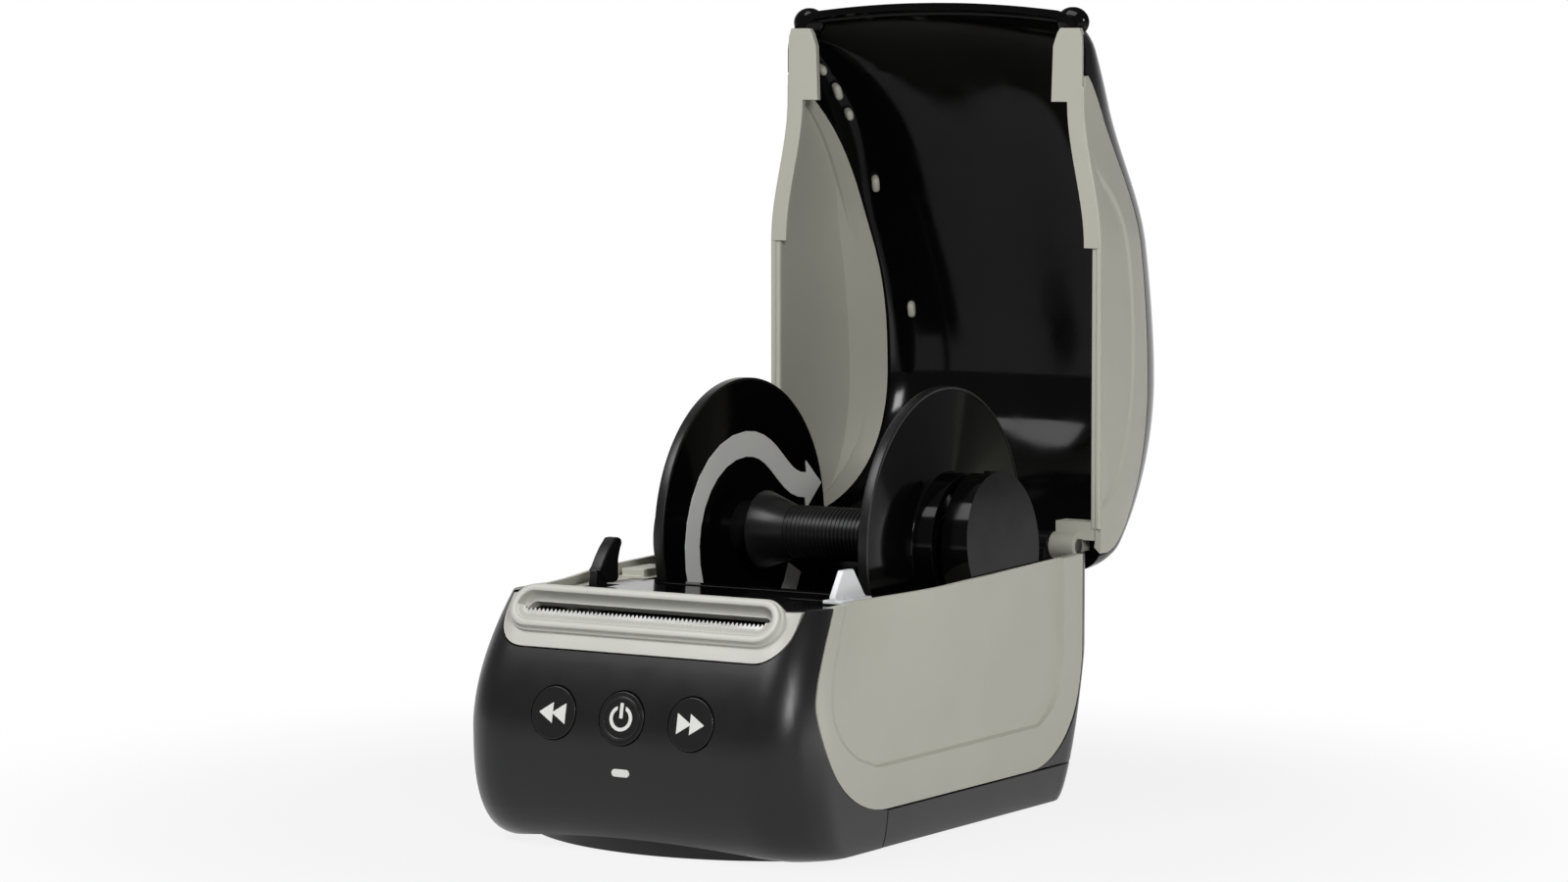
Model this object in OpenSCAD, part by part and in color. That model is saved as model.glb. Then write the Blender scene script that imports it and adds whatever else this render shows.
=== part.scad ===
// Desktop label printer with its lid open, in millimetres.
// Origin: centre of the footprint on the table. +X right, +Y to the rear, +Z up, front towards -Y.

/* [Body] */
// Width of the body at its widest level
body_w = 127; // [120:1:136]
// Front of the body, measured forward from the origin
front_reach = 93.5; // [91:0.5:98]
// Rear wall, measured back from the origin
rear_reach = 91; // [90:0.5:95]
// Height at which the body is widest
belly_z = 34; // [30:1:38]
// Height of the rim at the front
rim_front = 77; // [75:0.5:79]
// Rise of the rim from the front to the rear
rim_rise = 4; // [2:0.5:6]
// Height of the casing's lower edge above the table
skirt_z = 1.5; // [1:0.5:6]
// How far the front tucks in under the belly
front_tuck = 20; // [14:1:24]
// How far the sides tuck in under the belly
side_tuck = 4; // [3:1:14]
// Rise of the front's lower edge at its middle
front_arch = 3.6; // [0:0.2:4.4]
// How far the rear tucks in at the bottom
rear_tuck = 13; // [9:1:15]
// How far the front leans back at the rim
front_lean = 17.5; // [15:0.5:19]
// How far each side draws in at the front of the rim
waist = 6.5; // [4:0.5:8]
// Corner radius of the front at the belly
corner_low = 19; // [15:1:22]
// Corner radius of the front at the rim
corner_top = 12; // [9:1:14]
// Corner radius of the rear
rear_corner = 11; // [8:1:13]
// Thickness of the casing
wall = 2.2; // [1.6:0.1:2.6]
// Gap along the seams of the casing
seam = 0.5; // [0.3:0.1:0.8]

/* [Side panels] */
// Height of the straight lower edge of a side panel
panel_z = 14; // [13.5:0.5:19]
// Height of the curved lower corners of a side panel
panel_curve_h = 34; // [28:1:35]
// Setback of a side panel from the front
panel_front_gap = 13.5; // [11:0.5:17]
// Length of the panel's front curve
panel_front_w = 39; // [34:1:44]
// Setback of a side panel from the rear wall
panel_rear_gap = 9.5; // [8:0.5:10]
// Length of the panel's rear curve
panel_rear_w = 33; // [28:1:36]
// Setback of the panel's front edge at the rim
panel_setback = 17.4; // [14:0.2:20]
// Width of the raised border at the front
border_w = 6; // [4:0.5:8]
// Width of the raised border at the rear
rear_border = 12; // [8:0.5:14]
// Height of the raised border along the bottom
border_h = 13; // [8:0.5:14]
// Depth of the recessed field
recess = 0.8; // [0.4:0.1:1.2]

/* [Plinth] */
// Thickness of the plinth
plinth_h = 6.5; // [5.5:0.5:8]
// Setback of the plinth from the widest level of the sides
plinth_side = 12; // [11:0.5:20]
// Radius of the plinth's bowed front
plinth_bow_r = 80; // [76:1:100]
// Setback of the plinth from the front
plinth_front_gap = 11; // [10.5:0.5:24]
// Setback of the plinth from the rear wall
plinth_rear_gap = 17; // [15:0.5:25]
// Radius of a rubber foot
foot_r = 7; // [5:0.5:9]
// Thickness of a rubber foot
foot_h = 1.6; // [1:0.2:2.4]
// Inset of the feet from the plinth's sides
foot_side = 14; // [10:1:20]
// Inset of the feet from the plinth's rear edge
foot_inset = 26; // [20:1:34]

/* [Bezel] */
// Setback of the bezel from the widest level of the sides
bezel_side = 10.5; // [9.5:0.5:13]
// Height of the bezel below the rim
bezel_drop = 15.2; // [13:0.2:18]
// Radius of the bezel's lower corners
bezel_r = 11; // [8:0.5:13]
// Setback of the raised ring from the bezel's sides
ring_side = 3.6; // [2:0.2:6]
// Height of the ring along the sloped front
ring_h = 16; // [13:0.5:17]
// Width of the ring's band
ring_band = 2.6; // [2.2:0.1:4.5]
// How far the ring stands out
ring_out = 2.6; // [1.5:0.1:3.5]
// Depth of the ring behind the surface
ring_in = 4; // [3:0.5:5]
// Slope of the ring from the vertical
ring_tilt = 32; // [26:1:38]
// Drop of the ring's centre below the rim
ring_drop = 4.2; // [3:0.2:6]
// Height of the exit slot
slot_h = 2.4; // [1.6:0.2:3.2]
// Height of the sill below the slot
sill_h = 1.4; // [0.8:0.1:2]
// Inset of the tear blade from the ring's opening
blade_inset = 4.5; // [3.5:0.5:10]
// Pitch of the blade's teeth
tooth_pitch = 1.5; // [1.2:0.1:2.5]
// Height of the blade's teeth
tooth_h = 1; // [0.6:0.1:1.4]
// Thickness of the blade
blade_t = 0.5; // [0.4:0.1:0.8]

/* [Buttons] */
// Distance between button centres
button_pitch = 24.9; // [20:0.1:28]
// Height of the button centres
button_z = 43; // [40:0.5:46]
// Radius of a button
button_r = 8; // [6.5:0.1:9]
// Gap round a button
button_gap = 0.35; // [0.3:0.05:0.5]
// Length of a button
button_len = 7; // [6:0.5:8]
// Travel of a button
button_travel = 1; // [0.6:0.1:1.2]
// Slope of a button's face from the vertical
button_tilt = 11; // [8:1:14]
// Half length of a button's icon
icon_half = 5.4; // [4:0.2:6]
// Thickness of an icon
icon_t = 0.3; // [0.2:0.05:0.4]
// Height of the status lamp
lamp_z = 26.4; // [24:0.2:29]
// Length of the status lamp
lamp_w = 6.4; // [4:0.2:9]
// Height of the status lamp's face
lamp_h = 2.4; // [1.6:0.2:3.2]

/* [Spool] */
// Spool axis, forward from the rear wall
spool_back = 54; // [53:0.5:56]
// Spool axis above the inner ledges
spool_rise = 12.7; // [11:0.1:14]
// Radius of the flanges
flange_r = 48.5; // [44:0.5:48.5]
// Thickness of a flange
flange_t = 3.2; // [2.4:0.2:4]
// Gap between the collar and the well's end
bay_gap = 0.6; // [0.5:0.1:1.5]
// Radius of the spool's axle
axle_r = 4; // [3:0.1:5]
// Running clearance of shafts and pins
run_gap = 0.06; // [0.03:0.01:0.1]
// Radius of the hub beside the left flange
hub_r = 9.3; // [9:0.1:11]
// Length of the hub
hub_len = 7.5; // [6:0.5:10]
// Large radius of the cone
cone_r = 13; // [11:0.5:15]
// Length of the cone
cone_len = 11.5; // [9:0.5:14]
// Radius of the ribbed core
core_r = 8.7; // [7:0.1:9]
// Depth of the grooves between the ribs
rib_depth = 0.5; // [0.3:0.1:0.8]
// Pitch of the ribs
rib_pitch = 1.5; // [1.2:0.1:2.5]
// Radius of the right flange's collar
collar_r = 22; // [18:0.5:24]
// Length of the collar
collar_len = 7.5; // [6:0.5:8]
// Radius of the feed arrow's centre line
arrow_r = 30.7; // [28:0.1:32]
// Width of the feed arrow's band
arrow_band = 8; // [6:0.5:9]
// Drop of the feed arrow's ring below the spool axis
arrow_drop = 4.3; // [2:0.1:6]
// Radius of a cradle
cradle_r = 23; // [20:0.5:26]
// Thickness of a cradle at its top
cradle_t = 7.5; // [6.5:0.5:9]
// How far the cradle's outer face slopes out at its foot
cradle_slope = 3; // [1:0.5:4]
// Inner radius of the roll well
well_r = 50; // [49:0.5:50.5]
// Thickness of the well, deck and ledges
deck_t = 1.6; // [1.2:0.1:2]
// Drop of the inner ledges below the rim
ledge_drop = 2; // [1:0.2:3]

/* [Feed] */
// Setback of the mechanism's side plates from the widest level of the sides
plate_side = 27.5; // [26:0.5:30]
// Thickness of a side plate
plate_t = 1.5; // [1:0.1:2]
// Platen axis, back from the front
platen_back = 31.5; // [30:0.5:34]
// Platen axis below the rim
platen_drop = 17; // [16.5:0.5:19]
// Radius of the platen roller
platen_r = 6; // [5:0.2:6.6]
// Length of the platen roller
platen_len = 62; // [50:1:66]
// Radius of the platen shaft
shaft_r = 2.5; // [2:0.1:3]
// Gear module
gear_m = 0.8; // [0.7:0.05:0.9]
// Teeth of the platen gear
platen_teeth = 30; // [24:1:32]
// Teeth of the idler gear
idler_teeth = 40; // [34:1:42]
// Teeth of the motor pinion
pinion_teeth = 12; // [11:1:14]
// Face width of the gears
gear_w = 4; // [3:0.5:5]
// Radius of the drive motor
motor_r = 17; // [14:0.5:18]
// Length of the drive motor
motor_len = 30; // [24:1:32]
// Thickness of the print head
head_t = 2; // [1.6:0.1:2.4]
// Gap between head and platen
head_gap = 0.35; // [0.3:0.05:0.6]

/* [Lever and guide] */
// Setback of the release lever from the widest level of the sides
lever_side = 19.5; // [19:0.5:20.5]
// Lever pivot, back from the front
lever_back = 55.5; // [53:0.5:58]
// Lever pivot below the rim
lever_drop = 15; // [14:0.5:19]
// Width of the lever
lever_w = 4.3; // [3.5:0.1:4.6]
// Top of the lever above the rim
lever_rise = 16; // [11:0.5:19]
// Depth of the lever's grip
grip_d = 9.7; // [8:0.1:11]
// Height of the lever's grip
grip_h = 9.4; // [8:0.2:11]
// Forward swing of the lever in degrees
lever_swing = 22; // [15:1:24]
// Setback of the label guide from the widest level of the sides
guide_side = 17.5; // [16.5:0.5:19.5]
// Centre of the label guide, back from the front
guide_back = 56.5; // [54:0.5:59]
// Length of the label guide at its foot
guide_len = 18; // [14:0.5:20]
// Height of the label guide above the deck
guide_h = 10; // [7:0.5:12]
// Inward travel of the label guide
guide_travel = 20; // [12:1:22]

/* [Lid] */
// Setback of the closed lid's lip from the front
lid_setback = 10.5; // [8:0.5:14]
// How far the lid reaches behind the hinge
lid_tail = 8; // [7:0.5:9]
// Greatest height of the lid above its lower edge
lid_peak = 68.4; // [65:0.2:72]
// Distance of the highest point from the hinge
lid_peak_at = 52; // [46:1:58]
// Squareness of the lid's cross-section
lid_square = 3.5; // [2.8:0.1:4.5]
// Corner radius of the lid's front
lid_corner = 12; // [9:0.5:15]
// Gap between the closed lid and the rim
lid_gap = 1.6; // [1.4:0.1:2.4]
// Length of a lid panel ahead of its highest place
lid_panel_a = 101; // [90:1:104]
// Length of a lid panel behind its highest place
lid_panel_rear = 53.8; // [53:0.2:55]
// Height of a lid panel
lid_panel_b = 56; // [48:1:58]
// Highest place of a lid panel, from the hinge
lid_panel_at = 51; // [50:0.5:52]
// Thickness of the seat strips on the lid's edge
strip_t = 1; // [0.6:0.1:1.1]
// Width of the strip's wide front part
strip_w = 12.3; // [9:0.1:14]
// Width of the strip's narrow part
strip_rib = 5.6; // [4:0.1:8]
// Radius of a hinge pin
hinge_pin_r = 2.4; // [2:0.1:2.8]
// Radius of a hinge knuckle
knuckle_r = 4.4; // [4:0.1:4.8]
// Setback of a hinge lug's inner face from the widest level of the sides
lug_side = 24.5; // [23.5:0.5:29]
// Width of a hinge lug
lug_w = 7; // [5:0.5:8]
// Width of a lid ear
ear_w = 9; // [7:0.5:10]

/* [Electronics] */
// Thickness of the circuit boards
board_t = 1.6; // [1.2:0.1:2]
// Setback of the main board from the widest level of the sides
board_side = 19.5; // [17:0.5:25]
// Width of the data socket
data_w = 12; // [11:0.2:14]
// Height of the data socket
data_h = 11; // [10:0.2:12]
// Width of the power socket
power_w = 10; // [9:0.2:12]
// Radius of the power socket's bore
power_bore_r = 3.3; // [2.8:0.1:3.6]

/* [Hidden] */
$fn = 48;

charcoal = [0.09, 0.09, 0.095];
gloss_black = [0.04, 0.04, 0.045];
warm_grey = [0.74, 0.73, 0.69];
pale_grey = [0.82, 0.82, 0.79];
off_white = [0.9, 0.9, 0.88];
steel = [0.72, 0.72, 0.74];
board_green = [0.1, 0.32, 0.18];

// Levels and places that follow from the sizes above
tuck_power = 2.5;
lean_power = 1.8;
waist_power = 1.6;
tail_z = 50;
tail_power = 1.2;
waist_start = 5;
waist_end = 52;
skirt_blend = 0.6;
floor_t = 2.5;
floor_z = plinth_h;
floor_top = floor_z + floor_t;
half_body = body_w / 2;
panel_front = front_reach - panel_front_gap;
panel_front_c = panel_front - panel_front_w;
panel_rear = rear_reach - panel_rear_gap;
panel_rear_c = panel_rear - panel_rear_w;
plinth_half_w = half_body - plinth_side;
plinth_front = front_reach - plinth_front_gap;
plinth_rear = rear_reach - plinth_rear_gap;
foot_x = plinth_half_w - foot_side;
foot_y = plinth_rear - foot_inset;
bezel_half = half_body - bezel_side;
bezel_z = rim_front - bezel_drop;
ring_half = bezel_half - ring_side;
ring_z = rim_front - ring_drop;
blade_w = 2 * (ring_half - ring_band - blade_inset);
ledge_z = rim_front - ledge_drop;
spool_y = rear_reach - spool_back;
spool_z = ledge_z + spool_rise;
plate_half = half_body - plate_side;
platen_y = front_reach - platen_back;
platen_z = rim_front - platen_drop;
lever_x = half_body - lever_side;
lever_y = front_reach - lever_back;
lever_z = rim_front - lever_drop;
lever_top = rim_front + lever_rise;
guide_x = half_body - guide_side;
guide_y = front_reach - guide_back;
lug_x = half_body - lug_side;
board_half = half_body - board_side;
rim_rear = rim_front + rim_rise;
rim_run = panel_front - panel_setback + panel_rear;
panel_curve_z = panel_z + panel_curve_h;
hinge_y = rear_reach + 2;
hinge_cut_back = 4.5;
hinge_z = rim_rear + 1;
mate_y = hinge_y + rim(hinge_y) + lid_gap - hinge_z;
lid_len = hinge_y + front_reach - lid_setback;
fit_gap = 0.3;
seat_gap = 0.02;
cut_over = 1;
cradle_gap = 0.5;
cradle_step = 3.4;
axle_inset = 3;
cradle_x = half_body - wall - recess - cradle_gap - cradle_slope - cradle_t;
well_half = cradle_x - cradle_step;
flange_x = well_half - bay_gap - collar_len;
axle_half = cradle_x + cradle_t - axle_inset;
deck_top = ledge_z + seam;
deck_z = deck_top - deck_t;

// Ease from 0 to 1 between two ends
function unit(t) = max(0, min(1, t));
function ease(t) = let (c = unit(t)) c * c * (3 - 2 * c);

// Rim height along the side
function rim(y) = rim_front + rim_rise * unit((y + rim_run - panel_rear) / rim_run);

// Casing outline at height z, drawn in by g
function tuck(z) = let (t = unit((belly_z - z) / (belly_z - skirt_z + skirt_blend)))
  1 - pow(1 - pow(t, tuck_power), 1 / tuck_power);
function rise(z) = max(0, z - belly_z) / (rim_front - belly_z);
function y_front(z) = -front_reach
  + (z < belly_z ? front_tuck * tuck(z) : front_lean * pow(rise(z), lean_power));
function y_rear(z) = rear_reach - rear_tuck * pow(unit((tail_z - z) / tail_z), tail_power);
function draw_in(y) = ease((-y - waist_start) / (waist_end - waist_start));
function half_w(z, y) = body_w / 2 - side_tuck * (z < belly_z ? tuck(z) : 0)
  - waist * pow(rise(z), waist_power) * draw_in(y);
function corner_r(z) = corner_low + (corner_top - corner_low) * unit(rise(z));

// Half width of the casing at depth y and height z
function x_body(y, z, g = 0) =
  let (yf = y_front(z) + g, yr = y_rear(z) - g, r = corner_r(z) - g, q = rear_corner - g)
  y < yf + r ? half_w(z, yf) - g - r + sqrt(max(0, r * r - pow(yf + r - y, 2)))
  : y > yr - q ? half_w(z, y) - g - q + sqrt(max(0, q * q - pow(y - yr + q, 2)))
  : half_w(z, y) - g;

// Point at distance d round the front from its centre line, and the distance at which depth y is reached
function front_flat(z) = half_w(z, y_front(z)) - corner_r(z);
function front_wrap(d, z, g) =
  let (r = corner_r(z) - g, flat = front_flat(z), arc = r * PI / 2, yf = y_front(z) + g)
  d < flat ? [d, yf, z]
  : d < flat + arc ? let (a = (d - flat) / r * 180 / PI) [flat + r * sin(a), yf + r * (1 - cos(a)), z]
  : let (y = yf + r + d - flat - arc) [half_w(z, y) - g, y, z];
function front_length(y, z, g) =
  let (r = corner_r(z) - g, flat = front_flat(z), yf = y_front(z) + g)
  y < yf + r ? flat + r * acos(unit((yf + r - y) / r)) * PI / 180 : flat + r * PI / 2 + y - yf - r;

// The same round the rear
function rear_wrap(d, z, g) =
  let (q = rear_corner - g, yr = y_rear(z) - g, flat = half_w(z, yr) - rear_corner, arc = q * PI / 2)
  d < flat ? [d, yr, z]
  : d < flat + arc ? let (a = (d - flat) / q * 180 / PI) [flat + q * sin(a), yr - q * (1 - cos(a)), z]
  : let (y = yr - q - d + flat + arc) [half_w(z, y) - g, y, z];
function rear_length(y, z, g) =
  let (q = rear_corner - g, yr = y_rear(z) - g, flat = half_w(z, yr) - rear_corner)
  y > yr - q ? flat + q * acos(unit((y - yr + q) / q)) * PI / 180 : flat + q * PI / 2 + yr - q - y;

// Front and rear edges of a side panel at height z
function curve_part(z) = sqrt(max(0, 1 - pow(unit((panel_curve_z - z) / panel_curve_h), 2)));
function edge_front(z) = z < panel_curve_z
  ? -panel_front_c - (panel_front - panel_front_c) * curve_part(z)
  : -panel_front + panel_setback * pow((z - panel_curve_z) / (rim_front - panel_curve_z), 1.5);
function edge_rear(z) = panel_rear_c + (panel_rear - panel_rear_c) * curve_part(z);
function field_part(z) = sqrt(max(0, 1 - pow(unit((panel_curve_z - z) / (panel_curve_h - border_h)), 2)));
function field_front(z) = max(edge_front(z) + border_w,
  -panel_front_c - (panel_front - border_w - panel_front_c) * field_part(z));
function field_rear(z) = min(edge_rear(z) - rear_border,
  panel_rear_c + (panel_rear - rear_border - panel_rear_c) * field_part(z));

// Heights of the rows of points: up the skirt, round the panel's curve, then up to the rim
skirt_rows = [for (k = [0:4]) skirt_z + (panel_z - seam - skirt_z) * pow(k / 4, 1.4)];
curve_rows = [for (a = [12:13:90]) panel_curve_z - panel_curve_h * cos(a)];
upper_steps = 4;

// Closed solid between an outer and an inner grid of points.
// Seen from outside, rows run upwards and columns run to the right.
module slab(outer, inner) {
  last_row = len(outer) - 1;
  cols = len(outer[0]);
  last_col = cols - 1;
  n = (last_row + 1) * cols;
  function at(i, j) = i * cols + j;
  points = concat([for (row = outer) each row], [for (row = inner) each row]);
  function edge(a, b) = [[a, b, n + b], [a, n + b, n + a]];
  skins = [for (i = [0:last_row - 1], j = [0:last_col - 1])
    let (a = at(i, j), b = at(i, j + 1), c = at(i + 1, j + 1), d = at(i + 1, j))
    each [[a, d, c], [a, c, b], [n + a, n + c, n + d], [n + a, n + b, n + c]]];
  low = [for (j = [0:last_col - 1]) each edge(at(0, j), at(0, j + 1))];
  high = [for (j = [0:last_col - 1]) each edge(at(last_row, j + 1), at(last_row, j))];
  left = [for (i = [0:last_row - 1]) each edge(at(i + 1, 0), at(i, 0))];
  right = [for (i = [0:last_row - 1]) each edge(at(i, last_col), at(i + 1, last_col))];
  polyhedron(points, concat(skins, low, high, left, right));
}

// Outline in Y and Z, extruded along X from x0
module along_x(x0, length) translate([x0, 0, 0]) rotate([90, 0, 90]) linear_extrude(length) children();

// Outline in X and Z, extruded along Y from y0
module along_y(y0, length) translate([0, y0 + length, 0])
  rotate([90, 0, 0]) linear_extrude(length) children();

// Round bar along X
module bar_x(x0, length, y, z, r) translate([x0, y, z]) rotate([0, 90, 0]) cylinder(h = length, r = r);

// Round bar along Y
module bar_y(y0, length, x, z, r) translate([x, y0, z]) rotate([-90, 0, 0]) cylinder(h = length, r = r);

module both_sides() {
  children();
  mirror([1, 0, 0]) children();
}

// Slot outline of a given length and height, with round ends
module stadium(length, height) {
  square([length - height, height], center = true);
  for (side = [-1, 1]) translate([side * (length - height) / 2, 0]) circle(d = height);
}

// Base

module plinth_outline() {
  intersection() {
    translate([0, plinth_bow_r - plinth_front]) circle(r = plinth_bow_r, $fn = 96);
    translate([-plinth_half_w, -plinth_front]) square([2 * plinth_half_w, plinth_front + plinth_rear]);
  }
}

screw_x = foot_x;
screw_y = foot_y - foot_r - 5;
screw_r = 1.6;
screw_head_r = 3;
screw_gap = 0.2;

module at_screws() for (x = [-screw_x, screw_x], y = [-screw_y, screw_y]) translate([x, y, 0]) children();
module at_feet() for (x = [-foot_x, foot_x], y = [-foot_y, foot_y]) translate([x, y, 0]) children();

module plinth() color(charcoal) difference() {
  linear_extrude(plinth_h) plinth_outline();
  at_feet() translate([0, 0, -1]) cylinder(h = foot_h + 1 + seam, r = foot_r + screw_gap);
  at_screws() translate([0, 0, -1]) cylinder(h = plinth_h + 2, r = screw_r + screw_gap);
  at_screws() translate([0, 0, -1]) cylinder(h = plinth_h / 2 + 1, r = screw_head_r + screw_gap);
}

module rubber_feet() color(gloss_black) at_feet() cylinder(h = foot_h + seam, r = foot_r);

floor_steps = 10;
floor_inset = wall + seam;
function floor_side(y) = x_body(y, floor_z, floor_inset);
floor_y0 = y_front(floor_z) + floor_inset + 0.1;
floor_y1 = y_rear(floor_z) - floor_inset - 0.1;

module floor_outline() {
  ys = [for (k = [0:floor_steps]) floor_y0 + (floor_y1 - floor_y0) * (1 - cos(180 * k / floor_steps)) / 2];
  polygon(concat([for (y = ys) [floor_side(y), y]],
    [for (k = [floor_steps:-1:0]) [-floor_side(ys[k]), ys[k]]]));
}

standoff_h = 2;
standoff_r = 3;
board_y0 = -2;
board_y1 = floor_y1 - 3;
standoff_inset = 6;

module floor_plate() color(charcoal) difference() {
  union() {
    translate([0, 0, floor_z]) linear_extrude(floor_t) floor_outline();
    for (x = [-1, 1] * (board_half - standoff_inset), y = [board_y0, board_y1] + [1, -1] * standoff_inset)
      translate([x, y, floor_top - 0.5]) cylinder(h = standoff_h + 0.5, r = standoff_r);
  }
  at_screws() translate([0, 0, floor_z - 1]) cylinder(h = floor_t + 2, r = screw_r + screw_gap);
}

module case_screws() color(steel) at_screws() {
  translate([0, 0, plinth_h / 2 - 2.4]) cylinder(h = 2.3, r = screw_head_r);
  translate([0, 0, plinth_h / 2 - 0.2]) cylinder(h = floor_top - plinth_h / 2, r = screw_r);
}

// Casing

// Distances round the rear: across the flat, round the corner to its knee, then on to the seam
rear_steps = 5;
function rear_stops(end, z, g, knee_angle) = let (flat = half_w(z, y_rear(z) - g) - rear_corner,
  knee = flat + (rear_corner - g) * knee_angle * PI / 180, total = rear_length(end, z, g))
  concat([for (k = [0:2]) flat * k / 3], [for (k = [0:rear_steps]) flat + (knee - flat) * k / rear_steps],
    [for (k = [1:rear_steps]) knee + (total - knee) * k / rear_steps]);
function rear_row(end, z, g, knee_angle) = let (stops = rear_stops(end, z, g, knee_angle))
  concat([for (k = [len(stops) - 1:-1:1]) rear_wrap(stops[k], z, g)],
    [for (d = stops) let (p = rear_wrap(d, z, g)) [-p[0], p[1], p[2]]]);
skirt_knee = 90;
panel_knee = 30;
function skirt_grid(g) = [for (z = skirt_rows) rear_row(-panel_front_c + seam / 2, z, g, skirt_knee)];
rear_rows = concat([panel_z], curve_rows, [for (k = [1:upper_steps]) panel_curve_z
  + (rim_rear - panel_curve_z) * k / upper_steps]);
function rear_grid(g) = [for (z = rear_rows) rear_row(edge_rear(z) + seam, z, g, panel_knee)];

data_x = 4;
power_x = -24;
socket_z = floor_top + standoff_h + board_t;
socket_gap = 0.4;
hinge_cut_z = hinge_z - knuckle_r - 1;
hinge_side_gap = 0.6;
ear_x = lug_x + lug_w + hinge_side_gap;

module socket_holes() {
  translate([data_x - data_w / 2 - socket_gap, 0, socket_z - socket_gap])
    cube([data_w + 2 * socket_gap, rear_reach + 1, data_h + 2 * socket_gap]);
  translate([power_x - power_w / 2 - socket_gap, 0, socket_z - socket_gap])
    cube([power_w + 2 * socket_gap, rear_reach + 1, data_h + 2 * socket_gap]);
}

module base_skirt() color(charcoal) difference() {
  slab(skirt_grid(0), skirt_grid(wall));
  socket_holes();
}

module rear_panel() color(charcoal) difference() {
  slab(rear_grid(0), rear_grid(wall));
  socket_holes();
  both_sides() translate([lug_x - hinge_side_gap, rear_reach - hinge_cut_back, hinge_cut_z])
    cube([body_w / 2, hinge_cut_back + 5, rim_rear]);
}

// Lower edge of the bezel at distance d from the centre line, grown by e
function bezel_edge(d, e = 0) = bezel_z + bezel_r
  - sqrt(max(0, pow(bezel_r + e, 2) - pow(max(0, d - bezel_half + bezel_r), 2)));

front_ref = front_length(edge_front(rim_front) - seam, rim_front, 0);
corner_d = bezel_half + 2 * seam;
corner_spread = 0.19;
side_steps = 5;
bezel_steps = [for (a = [0:15:75]) bezel_half - bezel_r + (bezel_r + seam) * sin(a)];
front_d = concat([0, 0.26, 0.49, 0.57, 0.63, 0.68, 0.74] * corner_d, bezel_steps,
  [bezel_half + seam, corner_d],
  [for (k = [1:side_steps]) corner_d + (front_ref - corner_d) * k / side_steps]);
function front_top(d) = d > bezel_half + 1.5 * seam ? rim_front
  : d > bezel_half + seam / 2 ? bezel_z + bezel_r : bezel_edge(d, seam);
function front_end(z) = z < panel_z ? -panel_front_c - seam / 2 : edge_front(z) - seam;
function front_spread(z) = 1 + corner_spread * unit((bezel_z - z) / (bezel_z - belly_z));
function front_reached(d, z, g) = let (knee = corner_d * front_spread(z))
  d <= corner_d ? d * front_spread(z)
  : knee + (front_length(front_end(z), z, g) - knee) * (d - corner_d) / (front_ref - corner_d);
front_levels = concat(skirt_rows, curve_rows, [for (k = [1:upper_steps]) panel_curve_z
  + (rim_front - panel_curve_z) * k / upper_steps]);
arch_half = 0.81 * corner_d;
function front_low(d) = skirt_z + front_arch * max(0, 1 - pow(d / arch_half, 2));
function front_z(level, d) = front_low(d)
  + (level - skirt_z) * (front_top(d) - front_low(d)) / (rim_front - skirt_z);
function front_point(level, d, g) = let (z = front_z(level, d)) front_wrap(front_reached(d, z, g), z, g);
function front_grid(g) = [for (level = front_levels)
  concat([for (k = [len(front_d) - 1:-1:1]) let (p = front_point(level, front_d[k], g)) [-p[0], p[1], p[2]]],
    [for (d = front_d) front_point(level, d, g)])];

lamp_gap = 0.2;
module at_buttons() for (k = [-1:1]) translate([k * button_pitch, 0, button_z]) children();

module front_shell() color(charcoal) difference() {
  slab(front_grid(0), front_grid(wall));
  at_buttons() bar_y(-front_reach - cut_over, front_tuck, 0, 0, button_r + button_gap);
  translate([0, 0, lamp_z]) along_y(-front_reach - cut_over, front_tuck)
    stadium(lamp_w + 2 * lamp_gap, lamp_h + 2 * lamp_gap);
}

panel_rows = concat([panel_z], curve_rows, [for (k = [1:upper_steps]) panel_curve_z
  + (rim_front - panel_curve_z) * k / upper_steps]);
step_w = 0.8;
function panel_row(z, g) = let (f0 = edge_front(z), f1 = field_front(z), r1 = field_rear(z),
  r0 = edge_rear(z), low = g > 0 || z < panel_z + border_h ? 0 : recess)
  concat([[f0, 0], [f1, 0], [f1 + step_w, low]],
    [for (k = [1:9]) [f1 + step_w + (r1 - f1 - 2 * step_w) * k / 10, low]],
    [[r1 - step_w, low], [r1, 0], [r0, 0]]);
function panel_point(y, z, g) = let (h = panel_z + (z - panel_z) * (rim(y) - panel_z) / (rim_front - panel_z))
  [x_body(y, h, g), y, h];
function panel_grid(g) = [for (z = panel_rows) [for (p = panel_row(z, g)) panel_point(p[0], z, g + p[1])]];

module side_panel() color(warm_grey) slab(panel_grid(0), panel_grid(wall + recess));
module right_side_panel() side_panel();
module left_side_panel() mirror([1, 0, 0]) side_panel();

// Bezel: a curved skin, a raised ring and the exit slot with its blade

ring_y = y_front(ring_z);
module on_ring() translate([0, ring_y, ring_z]) rotate([90 - ring_tilt, 0, 0]) children();

bezel_top = rim_front - 0.6;
bezel_right = concat(bezel_half * [0.28, 0.57],
  [for (a = [0:18:72]) bezel_half - bezel_r + bezel_r * sin(a)], [bezel_half]);
bezel_cols = concat([for (k = [len(bezel_right) - 1:-1:0]) -bezel_right[k]], [0], bezel_right);
bezel_rows = 4;
function bezel_point(d, v, g) = let (z0 = bezel_edge(abs(d)), z = z0 + (bezel_top - z0) * v,
  p = front_wrap(abs(d), z, g)) [sign(d) * p[0], p[1], p[2]];
function bezel_grid(g) = [for (k = [0:bezel_rows]) [for (d = bezel_cols) bezel_point(d, k / bezel_rows, g)]];

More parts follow.
